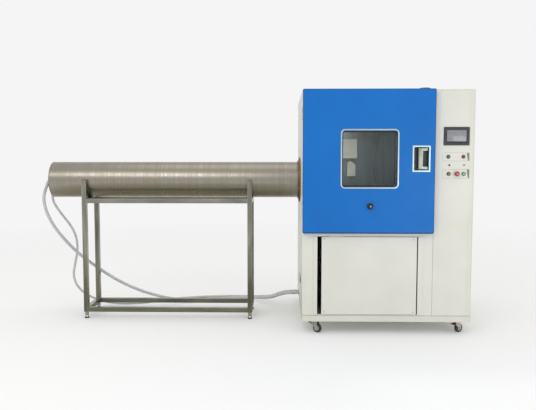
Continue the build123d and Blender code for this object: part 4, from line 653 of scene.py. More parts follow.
def frame_ring(
    mesh: BMesh,
    box: tuple[float, float, float, float],
    corner: float,
    width: float,
    y0: float,
    y1: float,
    bevel: float = 0.0,
) -> None:
    """Adds an upright picture-frame ring with round corners.

    Args:
        mesh: The bmesh that gets the ring; it holds nothing else yet.
        box: Left, right, lower and upper edge of its outside.
        corner: Radius of its outer corners.
        width: Width of its members.
        y0: Its front.
        y1: Its back.
        bevel: Width of its rounded front edges.
    """
    own = bmesh.new()
    left, right, low, high = box
    inner = (left + width, right - width, low + width, high - width)
    rounded_face(own, *box, y0, corner)
    rounded_face(own, *inner, y0, max(corner - width, min(corner, 2.0)))
    bmesh.ops.delete(own, geom=list(own.faces), context="FACES_ONLY")
    bmesh.ops.bridge_loops(own, edges=list(own.edges))
    thicken(own, list(own.faces), (0.0, y1 - y0, 0.0))
    if bevel > 0:
        front = [edge for edge in own.edges if all(abs(vert.co.y - y0) < 1e-3 for vert in edge.verts)]
        round_off(own, [edge for edge in front if edge.calc_face_angle(0.0) > 0.5], bevel, 3)
    merge(mesh, own)


def merge(mesh: BMesh, other: BMesh) -> None:
    """Adds another bmesh's shape to this one and frees the other."""
    scratch = bpy.data.meshes.new("scratch")
    other.to_mesh(scratch)
    mesh.from_mesh(scratch)
    bpy.data.meshes.remove(scratch)
    other.free()


def screw(mesh: BMesh, centre: Point, axis: Point, radius: float = 4.5) -> None:
    """Adds a pan head screw with a round socket.

    Args:
        mesh: The bmesh that gets the screw.
        centre: Where its head sits.
        axis: Direction in which the head stands out.
        radius: Radius of the head.
    """
    height = radius * 0.55
    lathe(
        mesh,
        [
            (0.0, height * 0.45), (radius * 0.42, height * 0.45), (radius * 0.45, height),
            (radius * 0.72, height * 0.92), (radius, height * 0.35), (radius, -0.2), (0.0, -0.2),
        ],
        centre,
        axis,
        12,
    )


@dataclass
class Studio:
    """The pale studio: floor, light and the camera at the photograph's place."""

    eye: Point = (-173.3, -4936.2, 1431.7)
    yaw: float = -0.021
    pitch: float = 0.075
    lens: float = 41.57
    pale: str = "F5F5F5"
    reach: float = 14.0
    near: float = 3.2
    far: float = 9.0
    lift: float = 0.18
    card: tuple[Point, Point] = ((-2700.0, -2300.0, 1.0), (-40.0, 1900.0, 2.0))

    def camera(self, shop: Shop) -> None:
        """Sets the camera where the photograph was taken from."""
        data = bpy.data.cameras.new("camera")
        data.lens, data.sensor_width = self.lens, 36.0
        data.clip_start, data.clip_end = 0.05, 100.0
        eye = put("camera", data)
        eye.location = shop.at(*self.eye)
        ahead = Vector(
            (
                math.sin(self.yaw) * math.cos(self.pitch),
                math.cos(self.yaw) * math.cos(self.pitch),
                -math.sin(self.pitch),
            )
        )
        eye.rotation_euler = ahead.to_track_quat("-Z", "Y").to_euler()
        bpy.context.scene.camera = eye

    def world(self) -> None:
        """Sets a pale room that metal and glass mirror, over an even soft light."""
        world = bpy.data.worlds.new("room")
        bpy.context.scene.world = world
        world.use_nodes = True
        tree = world.node_tree
        tree.nodes.clear()
        path = add_node(tree, "ShaderNodeLightPath")
        seen = self.shown(tree, path)
        soft = add_node(tree, "ShaderNodeBackground", {"Color": linear("FFFFFF"), "Strength": 0.86})
        pale = add_node(tree, "ShaderNodeBackground", {"Color": linear(self.pale), "Strength": 1.0})
        mirrored = add_node(tree, "ShaderNodeBackground", {"Color": linear("E4E4E2"), "Strength": 1.0})
        first = add_node(
            tree,
            "ShaderNodeMixShader",
            {},
            {0: path.outputs["Is Glossy Ray"], 1: soft.outputs[0], 2: mirrored.outputs[0]},
        )
        second = add_node(tree, "ShaderNodeMixShader", {}, {0: seen, 1: first.outputs[0], 2: pale.outputs[0]})
        add_node(tree, "ShaderNodeOutputWorld", {}, {"Surface": second.outputs[0]})

    def lamp(self, name: str, eye: Vector, target: Vector, size: Flat, power: float) -> None:
        """Hangs one soft box.

        Args:
            name: The lamp's name.
            eye: Where it hangs.
            target: What it points at.
            size: Its width and height in metres.
            power: Its power in watts.
        """
        data = bpy.data.lights.new(name, "AREA")
        data.shape, data.size, data.size_y, data.energy = "RECTANGLE", size[0], size[1], power
        box = put(name, data)
        box.location = eye
        box.rotation_euler = (target - eye).to_track_quat("-Z", "Y").to_euler()

    def prop(self, name: str, mesh: BMesh, material: Material) -> Object:
        """Puts a piece of the studio in the scene, which isn't a piece of the chamber."""
        data = bpy.data.meshes.new(name)
        mesh.to_mesh(data)
        mesh.free()
        data.materials.append(material)
        thing = put(name, data)
        return thing

    def shown(self, tree: NodeTree, path: Node) -> NodeSocket:
        """Gives 1 for the rays by which the camera sees a thing, straight on or through glass."""
        rays = {0: path.outputs["Is Camera Ray"], 1: path.outputs["Is Transmission Ray"]}
        return add_node(tree, "ShaderNodeMath", {"operation": "MAXIMUM"}, rays).outputs[0]

    def flag(self, shop: Shop) -> None:
        """Lays a dark olive card before the tube that only metal mirrors, as a studio does to shape a cylinder."""
        mesh = bmesh.new()
        slab(mesh, *self.card)
        bmesh.ops.transform(mesh, matrix=Matrix.Translation(shop.corner) @ Matrix.Scale(MM, 4), verts=mesh.verts)
        card = self.prop("studio_flag", mesh, Finishes.FLAG.material())
        card.visible_camera = False
        card.visible_diffuse = False
        card.visible_transmission = False
        card.visible_shadow = False

    def floor(self) -> None:
        """Lays a pale floor that fades into the room far behind the chamber."""
        mesh = bmesh.new()
        bmesh.ops.create_circle(mesh, cap_ends=True, segments=96, radius=self.reach)
        material = bpy.data.materials.new("pale_studio_floor")
        material.use_nodes = True
        tree = material.node_tree
        tree.nodes.clear()
        where = add_node(tree, "ShaderNodeTexCoord")
        far = add_node(tree, "ShaderNodeVectorMath", {"operation": "LENGTH"}, {0: where.outputs["Object"]})
        spread = {1: self.near, 2: self.far, 3: 0.0, 4: 1.0}
        fade = add_node(tree, "ShaderNodeMapRange", spread, {0: far.outputs["Value"]})
        matt = add_node(tree, "ShaderNodeBsdfDiffuse", {"Color": linear("E6E6E5")})
        path = add_node(tree, "ShaderNodeLightPath")
        seen = self.shown(tree, path)
        mirrored = {0: seen, 1: path.outputs["Is Glossy Ray"]}
        shown = add_node(tree, "ShaderNodeMath", {"operation": "MAXIMUM"}, mirrored)
        lift = add_node(tree, "ShaderNodeMath", {"operation": "MULTIPLY", 1: self.lift}, {0: shown.outputs[0]})
        glow = add_node(tree, "ShaderNodeEmission", {"Color": linear(self.pale)}, {"Strength": lift.outputs[0]})
        lifted = add_node(tree, "ShaderNodeAddShader", {}, {0: matt.outputs[0], 1: glow.outputs[0]})
        clear = add_node(tree, "ShaderNodeBsdfTransparent")
        mix = add_node(
            tree, "ShaderNodeMixShader", {}, {0: fade.outputs[0], 1: lifted.outputs[0], 2: clear.outputs[0]}
        )
        add_node(tree, "ShaderNodeOutputMaterial", {}, {"Surface": mix.outputs[0]})
        self.prop("studio_floor", mesh, material)

    def build(self, shop: Shop) -> None:
        """Sets the whole studio."""
        bpy.context.scene.view_settings.view_transform = "Standard"
        self.camera(shop)
        self.world()
        middle = shop.at(-200.0, 600.0, 1000.0)
        self.lamp("key_box", middle + Vector((-2.6, -5.6, 4.2)), middle, (3.6, 2.6), 52.0)
        self.lamp("fill_box", middle + Vector((3.2, -5.0, -0.2)), middle, (2.6, 1.6), 34.0)
        self.lamp("top_box", middle + Vector((0.0, 0.5, 4.6)), middle, (5.0, 3.0), 22.0)
        tube = shop.at(-1500.0, 540.0, 1240.0)
        self.lamp("strip_box", tube + Vector((-0.9, -4.4, 2.7)), tube, (3.8, 1.0), 13.0)
        self.flag(shop)
        self.floor()


@dataclass
class Hoses:
    """The two hoses, from the elbows at the tube's far end over the floor to the cabinet's side."""

    large_diameter: float = 0.028
    small_diameter: float = 0.022
    large_length: float = 3.33
    small_length: float = 3.54
    large: list[Point] = field(
        default_factory=lambda: [
            (-1.8352, 0.0006, 1.2106), (-1.8827, 0.0006, 1.1283), (-1.8771, -0.0034, 0.9850),
            (-1.8181, 0.0226, 0.8250), (-1.7181, 0.0576, 0.6750), (-1.6021, 0.1126, 0.5320),
            (-1.4881, 0.2386, 0.3980), (-1.3281, 0.2686, 0.2780), (-1.1481, 0.2866, 0.1800),
            (-0.9581, 0.3126, 0.1060), (-0.7631, 0.3626, 0.0500), (-0.5581, 0.4406, 0.0143),
            (-0.3581, 0.5356, 0.0143), (-0.1681, 0.5927, 0.0143), (0.0169, 0.5626, 0.0240),
            (0.1419, 0.4306, 0.0520), (0.2099, 0.2656, 0.0950), (0.2819, 0.1356, 0.1500),
            (0.3569, 0.0906, 0.1800), (0.4419, 0.0906, 0.1800),
        ]
    )
    small: list[Point] = field(
        default_factory=lambda: [
            (-1.8294, 0.0756, 1.1260), (-1.8294, 0.0756, 1.0460), (-1.8001, 0.0836, 0.9850),
            (-1.7501, 0.1066, 0.9000), (-1.6801, 0.1326, 0.8000), (-1.6441, 0.1686, 0.6900),
            (-1.6401, 0.1886, 0.5620), (-1.6751, 0.2056, 0.4300), (-1.7041, 0.2256, 0.3100),
            (-1.6751, 0.2426, 0.2000), (-1.5861, 0.2566, 0.1120), (-1.4741, 0.2686, 0.0600),
            (-1.3581, 0.3026, 0.0240), (-1.2281, 0.3376, 0.0113), (-1.0781, 0.3666, 0.0113),
            (-0.9281, 0.4506, 0.0113), (-0.7581, 0.5626, 0.0113), (-0.5481, 0.6356, 0.0113),
            (-0.3281, 0.6726, 0.0113), (-0.1181, 0.6806, 0.0113), (0.0619, 0.6456, 0.0180),
            (0.1769, 0.5256, 0.0480), (0.2369, 0.3706, 0.0950), (0.2839, 0.2226, 0.1500),
            (0.3569, 0.1626, 0.1800), (0.4419, 0.1626, 0.1800),
        ]
    )

    def run(
        self, name: str, points: list[Point], diameter: float, length: float, node: str
    ) -> None:
        """Lays one hose.

        Args:
            name: The piece's name.
            points: Control points of its line.
            diameter: Its diameter in metres.
            length: Its length in metres.
            node: The solid that it stands for.
        """
        data = bpy.data.curves.new(name, "CURVE")
        data.dimensions = "3D"
        data.resolution_u, data.bevel_resolution = 14, 6
        data.bevel_depth, data.use_fill_caps = diameter / 2, True
        spline = data.splines.new("NURBS")
        spline.points.add(len(points) - 1)
        for control, point in zip(spline.points, points):
            control.co = (*point, 1.0)
        spline.order_u = 3
        spline.use_endpoint_u = True
        data.materials.append(Finishes.HOSE.material())
        hose = put(name, data)
        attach(hose, "cabinet")
        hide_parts(node)
        LOG.info("%s: %.2f m", name, length)

    def build(self, shop: Shop) -> None:
        """Lays both hoses."""
        self.run("large_hose", self.large, self.large_diameter, self.large_length, "jet_hose_large")
        self.run("small_hose", self.small, self.small_diameter, self.small_length, "jet_hose_small")


@dataclass
class Frame:
    """The solids that keep their own shape and only get a finish."""

    finishes: dict[Finishes, tuple[str, ...]] = field(
        default_factory=lambda: {
            Finishes.CABINET: (
                "left_side_panel", "right_side_panel", "top_cover", "rear_panel", "front_frame", "column_panel",
                "service_door", "hinge_leaves_fixed", "hinge_leaves_door",
            ),
            Finishes.PLINTH: ("base_frame",),
            Finishes.DOOR: ("door_skin",),
            Finishes.LINER: ("chamber_liner", "door_inner_panel", "water_tank"),
            Finishes.TUBE: ("spray_tube",),
            Finishes.FLANGE: ("tube_flange",),
            Finishes.PLATE: ("tube_end_plate", "turntable", "wiper_arm"),
            Finishes.RAIL: ("stand_rails",),
            Finishes.POST: ("stand_posts",),
            Finishes.SEAL: ("door_seal", "stand_saddles"),
            Finishes.GLASS: ("window_glass",),
            Finishes.TRIM: ("window_frame", "handle_recess"),
            Finishes.LEVER: ("handle_lever",),
            Finishes.BLACK: ("wiper_knob", "button_bezels"),
            Finishes.CHROME: ("hose_ferrules", "hose_spigots", "jet_nozzles", "stand_feet"),
            Finishes.ZINC: (
                "caster_plates", "service_hinges", "rear_fittings",
                *(f"caster_fork_{corner}" for corner in CORNERS),
            ),
            Finishes.TYRE: tuple(f"caster_wheel_{corner}" for corner in CORNERS),
            Finishes.PEDAL: ("brake_pedal_front_left", "brake_pedal_front_right"),
            Finishes.BEZEL: ("touch_screen",),
            Finishes.GREEN_LENS: ("indicator_lamps",),
            Finishes.DARK_RED_CAP: ("stop_button",),
            Finishes.RED_CAP: ("estop_button",),
            Finishes.GREEN_CAP: ("start_button",),
            Finishes.IRON: ("booster_pump", "turntable_drive"),
            Finishes.GREY: ("pipework", "control_box"),
            Finishes.PALE: ("specimen_socket",),
            Finishes.VENT: ("roof_vent",),
        }
    )

    def build(self, shop: Shop) -> None:
        """Dresses the solids."""
        for finish, nodes in self.finishes.items():
            shop.dress(finish, *nodes)


@dataclass
class WindowSurround:
    """Trim, sleeve and gaskets round the door's double pane."""

    left: float = 312.0
    right: float = 749.0
    low: float = 1205.0
    high: float = 1652.0
    corner: float = 22.0
    trim: float = 13.0
    proud: float = 3.0
    wall: float = 3.0
    depth: float = 97.0

    def grown(self, by: float) -> tuple[float, float, float, float]:
        """Gives the opening's edges moved outwards by a distance."""
        return self.left - by, self.right + by, self.low - by, self.high + by

    def build(self, shop: Shop) -> None:
        """Makes the trim ring, the sleeve between the panes and a gasket on each pane."""
        trim = bmesh.new()
        frame_ring(trim, self.grown(self.trim), self.corner + self.trim, self.trim - 1, -self.proud, 0.4, 1.4)
        shop.piece("window_trim", trim, Finishes.TRIM, "door", ["window_frame"])
        # The sleeve is black rubber; its black also stands in as painted shade for the deep reveal between the panes.
        sleeve = bmesh.new()
        frame_ring(sleeve, self.grown(0.0), self.corner, self.wall, 0.2, self.depth)
        shop.piece("window_reveal_rubber_and_painted_shade", sleeve, Finishes.SEAL, "door")
        gasket = bmesh.new()
        frame_ring(gasket, self.grown(-1.5), self.corner - 1.5, 5.0, 0.6, 4.0, 1.0)
        frame_ring(gasket, self.grown(-1.5), self.corner - 1.5, 9.0, 85.0, 91.0, 1.0)
        shop.piece("window_gasket", gasket, Finishes.SEAL, "door")


@dataclass
class DoorRimShade:
    """Folded edge of the door with painted shade: a strip darker than its face, and deeper along the bottom, where it
    also stands for the shadow under the door.
    """

    width: float = 1047.0
    low: float = 832.0
    high: float = 1980.0
    fold: float = 3.5
    bottom: float = 8.0

    def build(self, shop: Shop) -> None:
        """Lays the painted shade strip round the door's face."""
        mesh = bmesh.new()
        # Painted shade: a darker ring on the rim and a deeper strip along the bottom for the shadow under the door.
        frame_ring(mesh, (0.0, self.width, self.low, self.high), 10.0, self.fold, -0.35, 0.3, 0.2)
        slab(mesh, (9.0, -0.35, self.low), (self.width - 9, 0.3, self.low + self.bottom), 0.2, 1)
        shop.piece("door_rim_painted_shade", mesh, Finishes.DOOR_EDGE, "door")


@dataclass
class HandleSet:
    """Recessed latch: a trim ring, a dark tray and a C-shaped lever that hinges on its right."""

    left: float = 879.0
    right: float = 996.0
    low: float = 1338.0
    high: float = 1523.0
    trim: float = 13.0
    depth: float = 36.0
    columns: tuple[float, ...] = (915.0, 952.0, 985.0)
    rows: tuple[float, ...] = (1345.0, 1369.0, 1492.0, 1516.0)
    front: float = 4.5
    thickness: float = 13.0
    edge: float = 3.2
    hub: float = 7.0

    def ring(self) -> BMesh:
        """Makes the trim ring."""
        mesh = bmesh.new()
        box = (self.left - self.trim, self.right + self.trim, self.low - self.trim, self.high + self.trim)
        frame_ring(mesh, box, 6.0, self.trim + 1, -3.0, 0.4, 1.4)
        return mesh

    def tray(self) -> BMesh:
        """Makes the tray: four walls, a back and the striker slot's lip in it."""
        mesh = bmesh.new()
        frame_ring(mesh, (self.left, self.right, self.low, self.high), 5.0, 2.0, 0.2, self.depth)
        slab(mesh, (self.left, self.depth - 0.5, self.low), (self.right, self.depth + 2, self.high), 0.4, 1)
        middle = (self.low + self.high) / 2
        lip = (self.left + 6, self.left + 24, middle - 34, middle + 34)
        frame_ring(mesh, lip, 4.0, 3.0, self.depth - 3, self.depth, 0.8)
        return mesh

    def lever(self) -> BMesh:
        """Makes the C from a grid of two by three cells without its inner cell."""
        mesh = bmesh.new()
        bmesh.ops.create_grid(mesh, x_segments=2, y_segments=3, size=1.0)
        for vert in mesh.verts:
            column = round((vert.co.x + 1) / 2 * (len(self.columns) - 1))
            row = round((vert.co.y + 1) / 2 * (len(self.rows) - 1))
            vert.co = Vector((self.columns[column], self.front, self.rows[row]))
        inner = [
            face
            for face in mesh.faces
            if face.calc_center_median().x > self.columns[1]
            and self.rows[1] < face.calc_center_median().z < self.rows[2]
        ]
        bmesh.ops.delete(mesh, geom=inner, context="FACES")
        thicken(mesh, list(mesh.faces), (0.0, self.thickness, 0.0))
        round_off(mesh, [edge for edge in mesh.edges if edge.calc_face_angle(0.0) > 0.5], self.edge, 4)
        return mesh

    def grip(self) -> BMesh:
        """Makes the raised rib that the fingers close on, and the two hubs on the pin."""
        mesh = bmesh.new()
        first, second = self.columns[0], self.columns[1]
        slab(
            mesh,
            (first + 3, self.front - 1.6, self.rows[0] + 6), (second - 17, self.front + 4, self.rows[-1] - 6),
            1.5,
            3,
        )
        for low, high in ((self.rows[0] - 6, self.rows[1] - 2), (self.rows[2] + 2, self.rows[-1] + 6)):
            height = high - low
            profile = [
                (0.0, 0.0), (self.hub - 1, 0.0), (self.hub, 1.0), (self.hub, height - 1), (self.hub - 1, height),
                (0.0, height),
            ]
            lathe(mesh, profile, (self.columns[-1], self.front + self.thickness / 2, low), (0, 0, 1), 24)
        return mesh

    def build(self, shop: Shop) -> None:
        """Puts the latch in the door."""
        shop.piece("handle_trim", self.ring(), Finishes.TRIM, "door", ["handle_recess"])
        shop.piece("handle_tray", self.tray(), Finishes.TRAY, "door")
        shop.piece("handle_c_lever", self.lever(), Finishes.LEVER, "handle", ["handle_lever"])
        shop.piece("handle_grip_rib", self.grip(), Finishes.LEVER, "handle")


@dataclass
class WiperKnob:
    """Washer under the three-lobed wiper knob, and the cap in its middle."""

    x: float = 538.0
    z: float = 1051.0
    front: float = -28.3

    def build(self, shop: Shop) -> None:
        """Makes the washer on the door and the cap on the knob."""
        profile = [(7.0, 0.2), (7.0, 1.6), (24.0, 1.6), (25.5, 0.6), (25.5, -0.3), (7.0, -0.3)]
        washer = turned(profile, (self.x, 0.0, self.z), (0, -1, 0))
        shop.piece("wiper_washer", washer, Finishes.BLACK, "door")
        dome = [(0.0, 1.2), (4.0, 1.0), (5.2, 0.4), (5.6, -1.5), (0.0, -1.5)]
        cap = turned(dome, (self.x, self.front, self.z), (0, -1, 0), 32)
        shop.piece("wiper_cap", cap, Finishes.CHROME, "wiper")


@dataclass
class OperatorPanel:
    """Screen, lamps, push buttons and the thin printed frames round them on the control column."""

    face: float = 50.0
    screen: tuple[float, float, float, float] = (1122.0, 1327.0, 1536.0, 1682.0)
    glass: tuple[float, float, float, float] = (1146.5, 1302.5, 1566.5, 1657.5)
    lamp_row: float = 1446.0
    lamps: tuple[tuple[float, str], ...] = ((1162.0, "green"), (1282.0, "red"))
    led_row: float = 1378.5
    leds: tuple[float, float] = (1171.5, 1289.5)
    button_row: float = 1309.0
    estop_x: float = 1229.0
    frames: tuple[tuple[float, float, float, float], ...] = (
        (1117.0, 1331.0, 1411.0, 1478.5), (1119.0, 1333.0, 1273.0, 1347.0),
    )
    plate: tuple[float, float, float, float] = (1089.0, 1336.0, 160.0, 1972.0)

    def bezel(self) -> BMesh:
        """Makes the screen's bezel with a sunk rebate round the glass."""
        mesh = bmesh.new()
        left, right, low, high = self.screen
        frame_ring(mesh, self.screen, 6.0, 23.0, self.face - 6, self.face + 0.3, 2.2)
        slab(mesh, (left + 16, self.face - 3.6, low + 16), (right - 16, self.face + 0.3, high - 16), 0.3, 1)
        inner = (self.glass[0] - 4, self.glass[1] + 4, self.glass[2] - 4, self.glass[3] + 4)
        frame_ring(mesh, inner, 3.0, 5.0, self.face - 6.6, self.face - 3, 0.6)
        slab(mesh, (left + 60, self.face - 6.5, low + 9), (right - 60, self.face - 5, low + 12), 0.4, 1)
        return mesh

    def pane(self) -> BMesh:
        """Makes the screen's glass."""
        mesh = bmesh.new()
        left, right, low, high = self.glass
        slab(mesh, (left, self.face - 5.6, low), (right, self.face - 3, high), 0.5, 2)
        return mesh

    def lens(self, x: float) -> BMesh:
        """Makes a signal lamp's domed lens at a place along the row."""
        profile = [(0.0, 10.0), (5.4, 9.7), (9.4, 8.7), (12.2, 6.8), (13.2, 4.2), (13.2, 0.5), (0.0, 0.5)]
        return turned(profile, (x, self.face, self.lamp_row), (0, -1, 0))

    def collars(self) -> BMesh:
        """Makes the knurled collars round the lamps and the rims of the two small lamps."""
        mesh = bmesh.new()
        for x, _ in self.lamps:
            profile = [(13.3, 0.0), (13.3, 3.4), (13.9, 3.8), (14.6, 3.6), (15.2, 2.8), (15.2, 0.0)]
            lathe(mesh, [*profile, profile[0]], (x, self.face, self.lamp_row), (0, -1, 0), 40)
        for x in self.leds:
            profile = [(6.0, 0.0), (6.0, 1.4), (7.4, 1.2), (8.0, 0.0), (6.0, 0.0)]
            lathe(mesh, profile, (x, self.face, self.led_row), (0, -1, 0), 24)
        return mesh

    def diode(self, x: float) -> BMesh:
        """Makes a small lamp's dome at a place along its row."""
        dome = [(0.0, 3.2), (3.4, 2.7), (5.3, 1.4), (5.9, 0.0), (0.0, 0.0)]
        return turned(dome, (x, self.face, self.led_row), (0, -1, 0), 20)

    def printed(self) -> BMesh:
        """Makes the printed frames round the two rows as films 0.3 mm thick."""
        mesh = bmesh.new()
        for box in self.frames:
            frame_ring(mesh, box, 5.0, 1.8, self.face - 0.3, self.face + 0.2)
        return mesh

    def ends(self) -> BMesh:
        """Makes the dark fields at the frames' right ends, with a slanted left side."""
        mesh = bmesh.new()
        for _, right, low, high in self.frames:
            field_verts = slab(
                mesh, (right - 23, self.face - 0.3, low + 3), (right - 4, self.face + 0.2, high - 3)
            )
            for vert in field_verts:
                if vert.co.x < right - 15 and vert.co.z < (low + high) / 2:
                    vert.co.x += 10
        return mesh

    def folds(self) -> BMesh:
        """Makes the fine raised edge of the column's face sheet."""
        mesh = bmesh.new()
        frame_ring(mesh, self.plate, 3.0, 2.2, self.face - 0.7, self.face + 0.2, 0.3)
        return mesh

    def build(self, shop: Shop) -> None:
        """Puts the controls on the column."""
        shop.piece("screen_bezel", self.bezel(), Finishes.BEZEL, replaces=["touch_screen"])
        shop.piece("screen_glass", self.pane(), Finishes.SCREEN)
        for (x, colour), finish in zip(self.lamps, (Finishes.GREEN_LENS, Finishes.RED_LENS)):
            replaced = ["indicator_lamps"] if colour == "green" else []
            shop.piece(f"{colour}_lamp", self.lens(x), finish, replaces=replaced)
        shop.piece("lamp_collars", self.collars(), Finishes.BLACK)
        shop.piece("dark_diode", self.diode(self.leds[0]), Finishes.DARK_RED_CAP)
        shop.piece("pale_diode", self.diode(self.leds[1]), Finishes.PALE)
        shop.piece("legend_frames", self.printed(), Finishes.PRINT)
        shop.piece("legend_ends", self.ends(), Finishes.PRINT_END)
        shop.piece("column_face_edge", self.folds(), Finishes.CABINET)
        # Painted highlight: a pale red dome on the crown of the emergency stop.
        dome = [(0.0, 34.6), (5.0, 34.4), (6.8, 33.8), (7.2, 31.0), (0.0, 31.0)]
        highlight_dome = turned(dome, (self.estop_x, self.face, self.button_row), (0, -1, 0), 32)
        shop.piece("estop_painted_highlight", highlight_dome, Finishes.PINK_CAP, "estop_button")


@dataclass
class Fasteners:
    """Screws of the service door and of the cabinet's back and left sheets."""

    service: tuple[Flat, ...] = ((178.0, 783.0), (900.0, 778.0), (178.0, 184.0), (900.0, 184.0))
    rear: float = 1385.0
    sides: Flat = (16.0, 1362.0)
    ends: Flat = (172.0, 1962.0)
    down: range = range(230, 1961, 190)
    across: range = range(206, 1300, 194)
    left: tuple[float, ...] = (200.0, 620.0, 1940.0)

    def build(self, shop: Shop) -> None:
        """Puts all the screws in."""
        service = bmesh.new()
        for x, z in self.service:
            screw(service, (x, 44.0, z), (0, -1, 0), 5.0)
        shop.piece("service_door_screws", service, Finishes.ZINC, "service_door")
        sheets = bmesh.new()
        places = [(x, z) for z in self.down for x in self.sides]
        places += [(x, z) for x in self.across for z in self.ends]
        for x, z in places:
            screw(sheets, (x, self.rear, z), (0, 1, 0))
        for z in self.left:
            screw(sheets, (0.0, 1360.0, z), (-1, 0, 0))
        shop.piece("sheet_screws", sheets, Finishes.ZINC)


@dataclass
class SidePull:
    """Moulded pull cup on the cabinet's left side, under the tube."""

    front: float = 330.0
    back: float = 560.0
    low: float = 318.0
    high: float = 412.0

    def build(self, shop: Shop) -> None:
        """Makes the cup's rim and its dark inside, upright on the side sheet."""
        turn = Matrix.Rotation(-math.pi / 2, 4, "Z") @ Matrix.Scale(-1, 4, Vector((1, 0, 0)))
        rim = bmesh.new()
        frame_ring(rim, (self.front, self.back, self.low, self.high), 12.0, 14.0, -5.0, 0.3, 1.6)
        inside = bmesh.new()
        frame_ring(inside, (self.front + 13, self.back - 13, self.low + 13, self.high - 13), 4.0, 20.0, -2.0, 0.2, 0.6)
        slab(inside, (self.front + 14, -0.9, self.low + 14), (self.back - 14, 0.2, self.high - 14), 0.2, 1)
        for mesh in (rim, inside):
            bmesh.ops.transform(mesh, matrix=turn, verts=mesh.verts)
        shop.piece("side_pull_rim", rim, Finishes.GREY)
        shop.piece("side_pull_cup", inside, Finishes.BEZEL)


@dataclass
class TubeDetails:
    """Rolled rim and seams of the tube, and the bolts of its flange."""

    axis_y: float = 700.0
    axis_z: float = 1240.0
    radius: float = 160.0
    far_end: float = -2249.0
    seams: tuple[float, ...] = (-1250.0, -250.0)
    bolt_circle: float = 184.0
    bolts: int = 8
    flange_face: float = -14.0
    head_radius: float = 7.5
    head_height: float = 5.0

    def rim(self) -> BMesh:
        """Makes the rolled bead on the far rim and the flat weld beads between the tube's lengths."""
        mesh = bmesh.new()
        bead = [
            (self.radius - 2 + 3 * math.cos(turn * math.pi / 5), 3 + 3 * math.sin(turn * math.pi / 5))
            for turn in range(11)
        ]
        lathe(mesh, bead, (self.far_end, self.axis_y, self.axis_z), (1, 0, 0), 96)
        for x in self.seams:
            profile = [(self.radius - 1, -2.5), (self.radius + 0.5, -1.5), (self.radius + 0.5, 1.5)]
            lathe(
                mesh,
                [*profile, (self.radius - 1, 2.5), profile[0]],
                (x, self.axis_y, self.axis_z), (1, 0, 0),
                96,
            )
        return mesh

    def bolt(self, mesh: BMesh, centre: Vector) -> None:
        """Adds a hexagon head and its washer on the flange.

        Args:
            mesh: The bmesh that gets the bolt.
            centre: Where its washer sits.
        """
        lathe(mesh, [(0.0, 0.0), (9.0, 0.0), (9.0, 1.4), (8.4, 1.6), (0.0, 1.6)], tuple(centre), (-1, 0, 0), 20)
        head = bmesh.ops.create_circle(mesh, cap_ends=True, segments=6, radius=self.head_radius)["verts"]
        turn = Matrix.Rotation(math.pi / 2, 3, "Y")
        bmesh.ops.rotate(mesh, cent=Vector(), matrix=turn, verts=head)
        bmesh.ops.translate(mesh, vec=centre + Vector((-1.4, 0.0, 0.0)), verts=head)
        thicken(mesh, list(head[0].link_faces), (-self.head_height, 0.0, 0.0))

    def build(self, shop: Shop) -> None:
        """Puts the rim and the bolts on."""
        shop.piece("tube_rim", self.rim(), Finishes.TUBE)
        bolts = bmesh.new()
        for step in range(self.bolts):
            turn = math.tau * (step + 0.5) / self.bolts
            self.bolt(
                bolts,
                Vector(
                    (
                        self.flange_face,
                        self.axis_y + self.bolt_circle * math.cos(turn),
                        self.axis_z + self.bolt_circle * math.sin(turn),
                    )
                ),
            )
        shop.piece("flange_bolts", bolts, Finishes.ZINC)


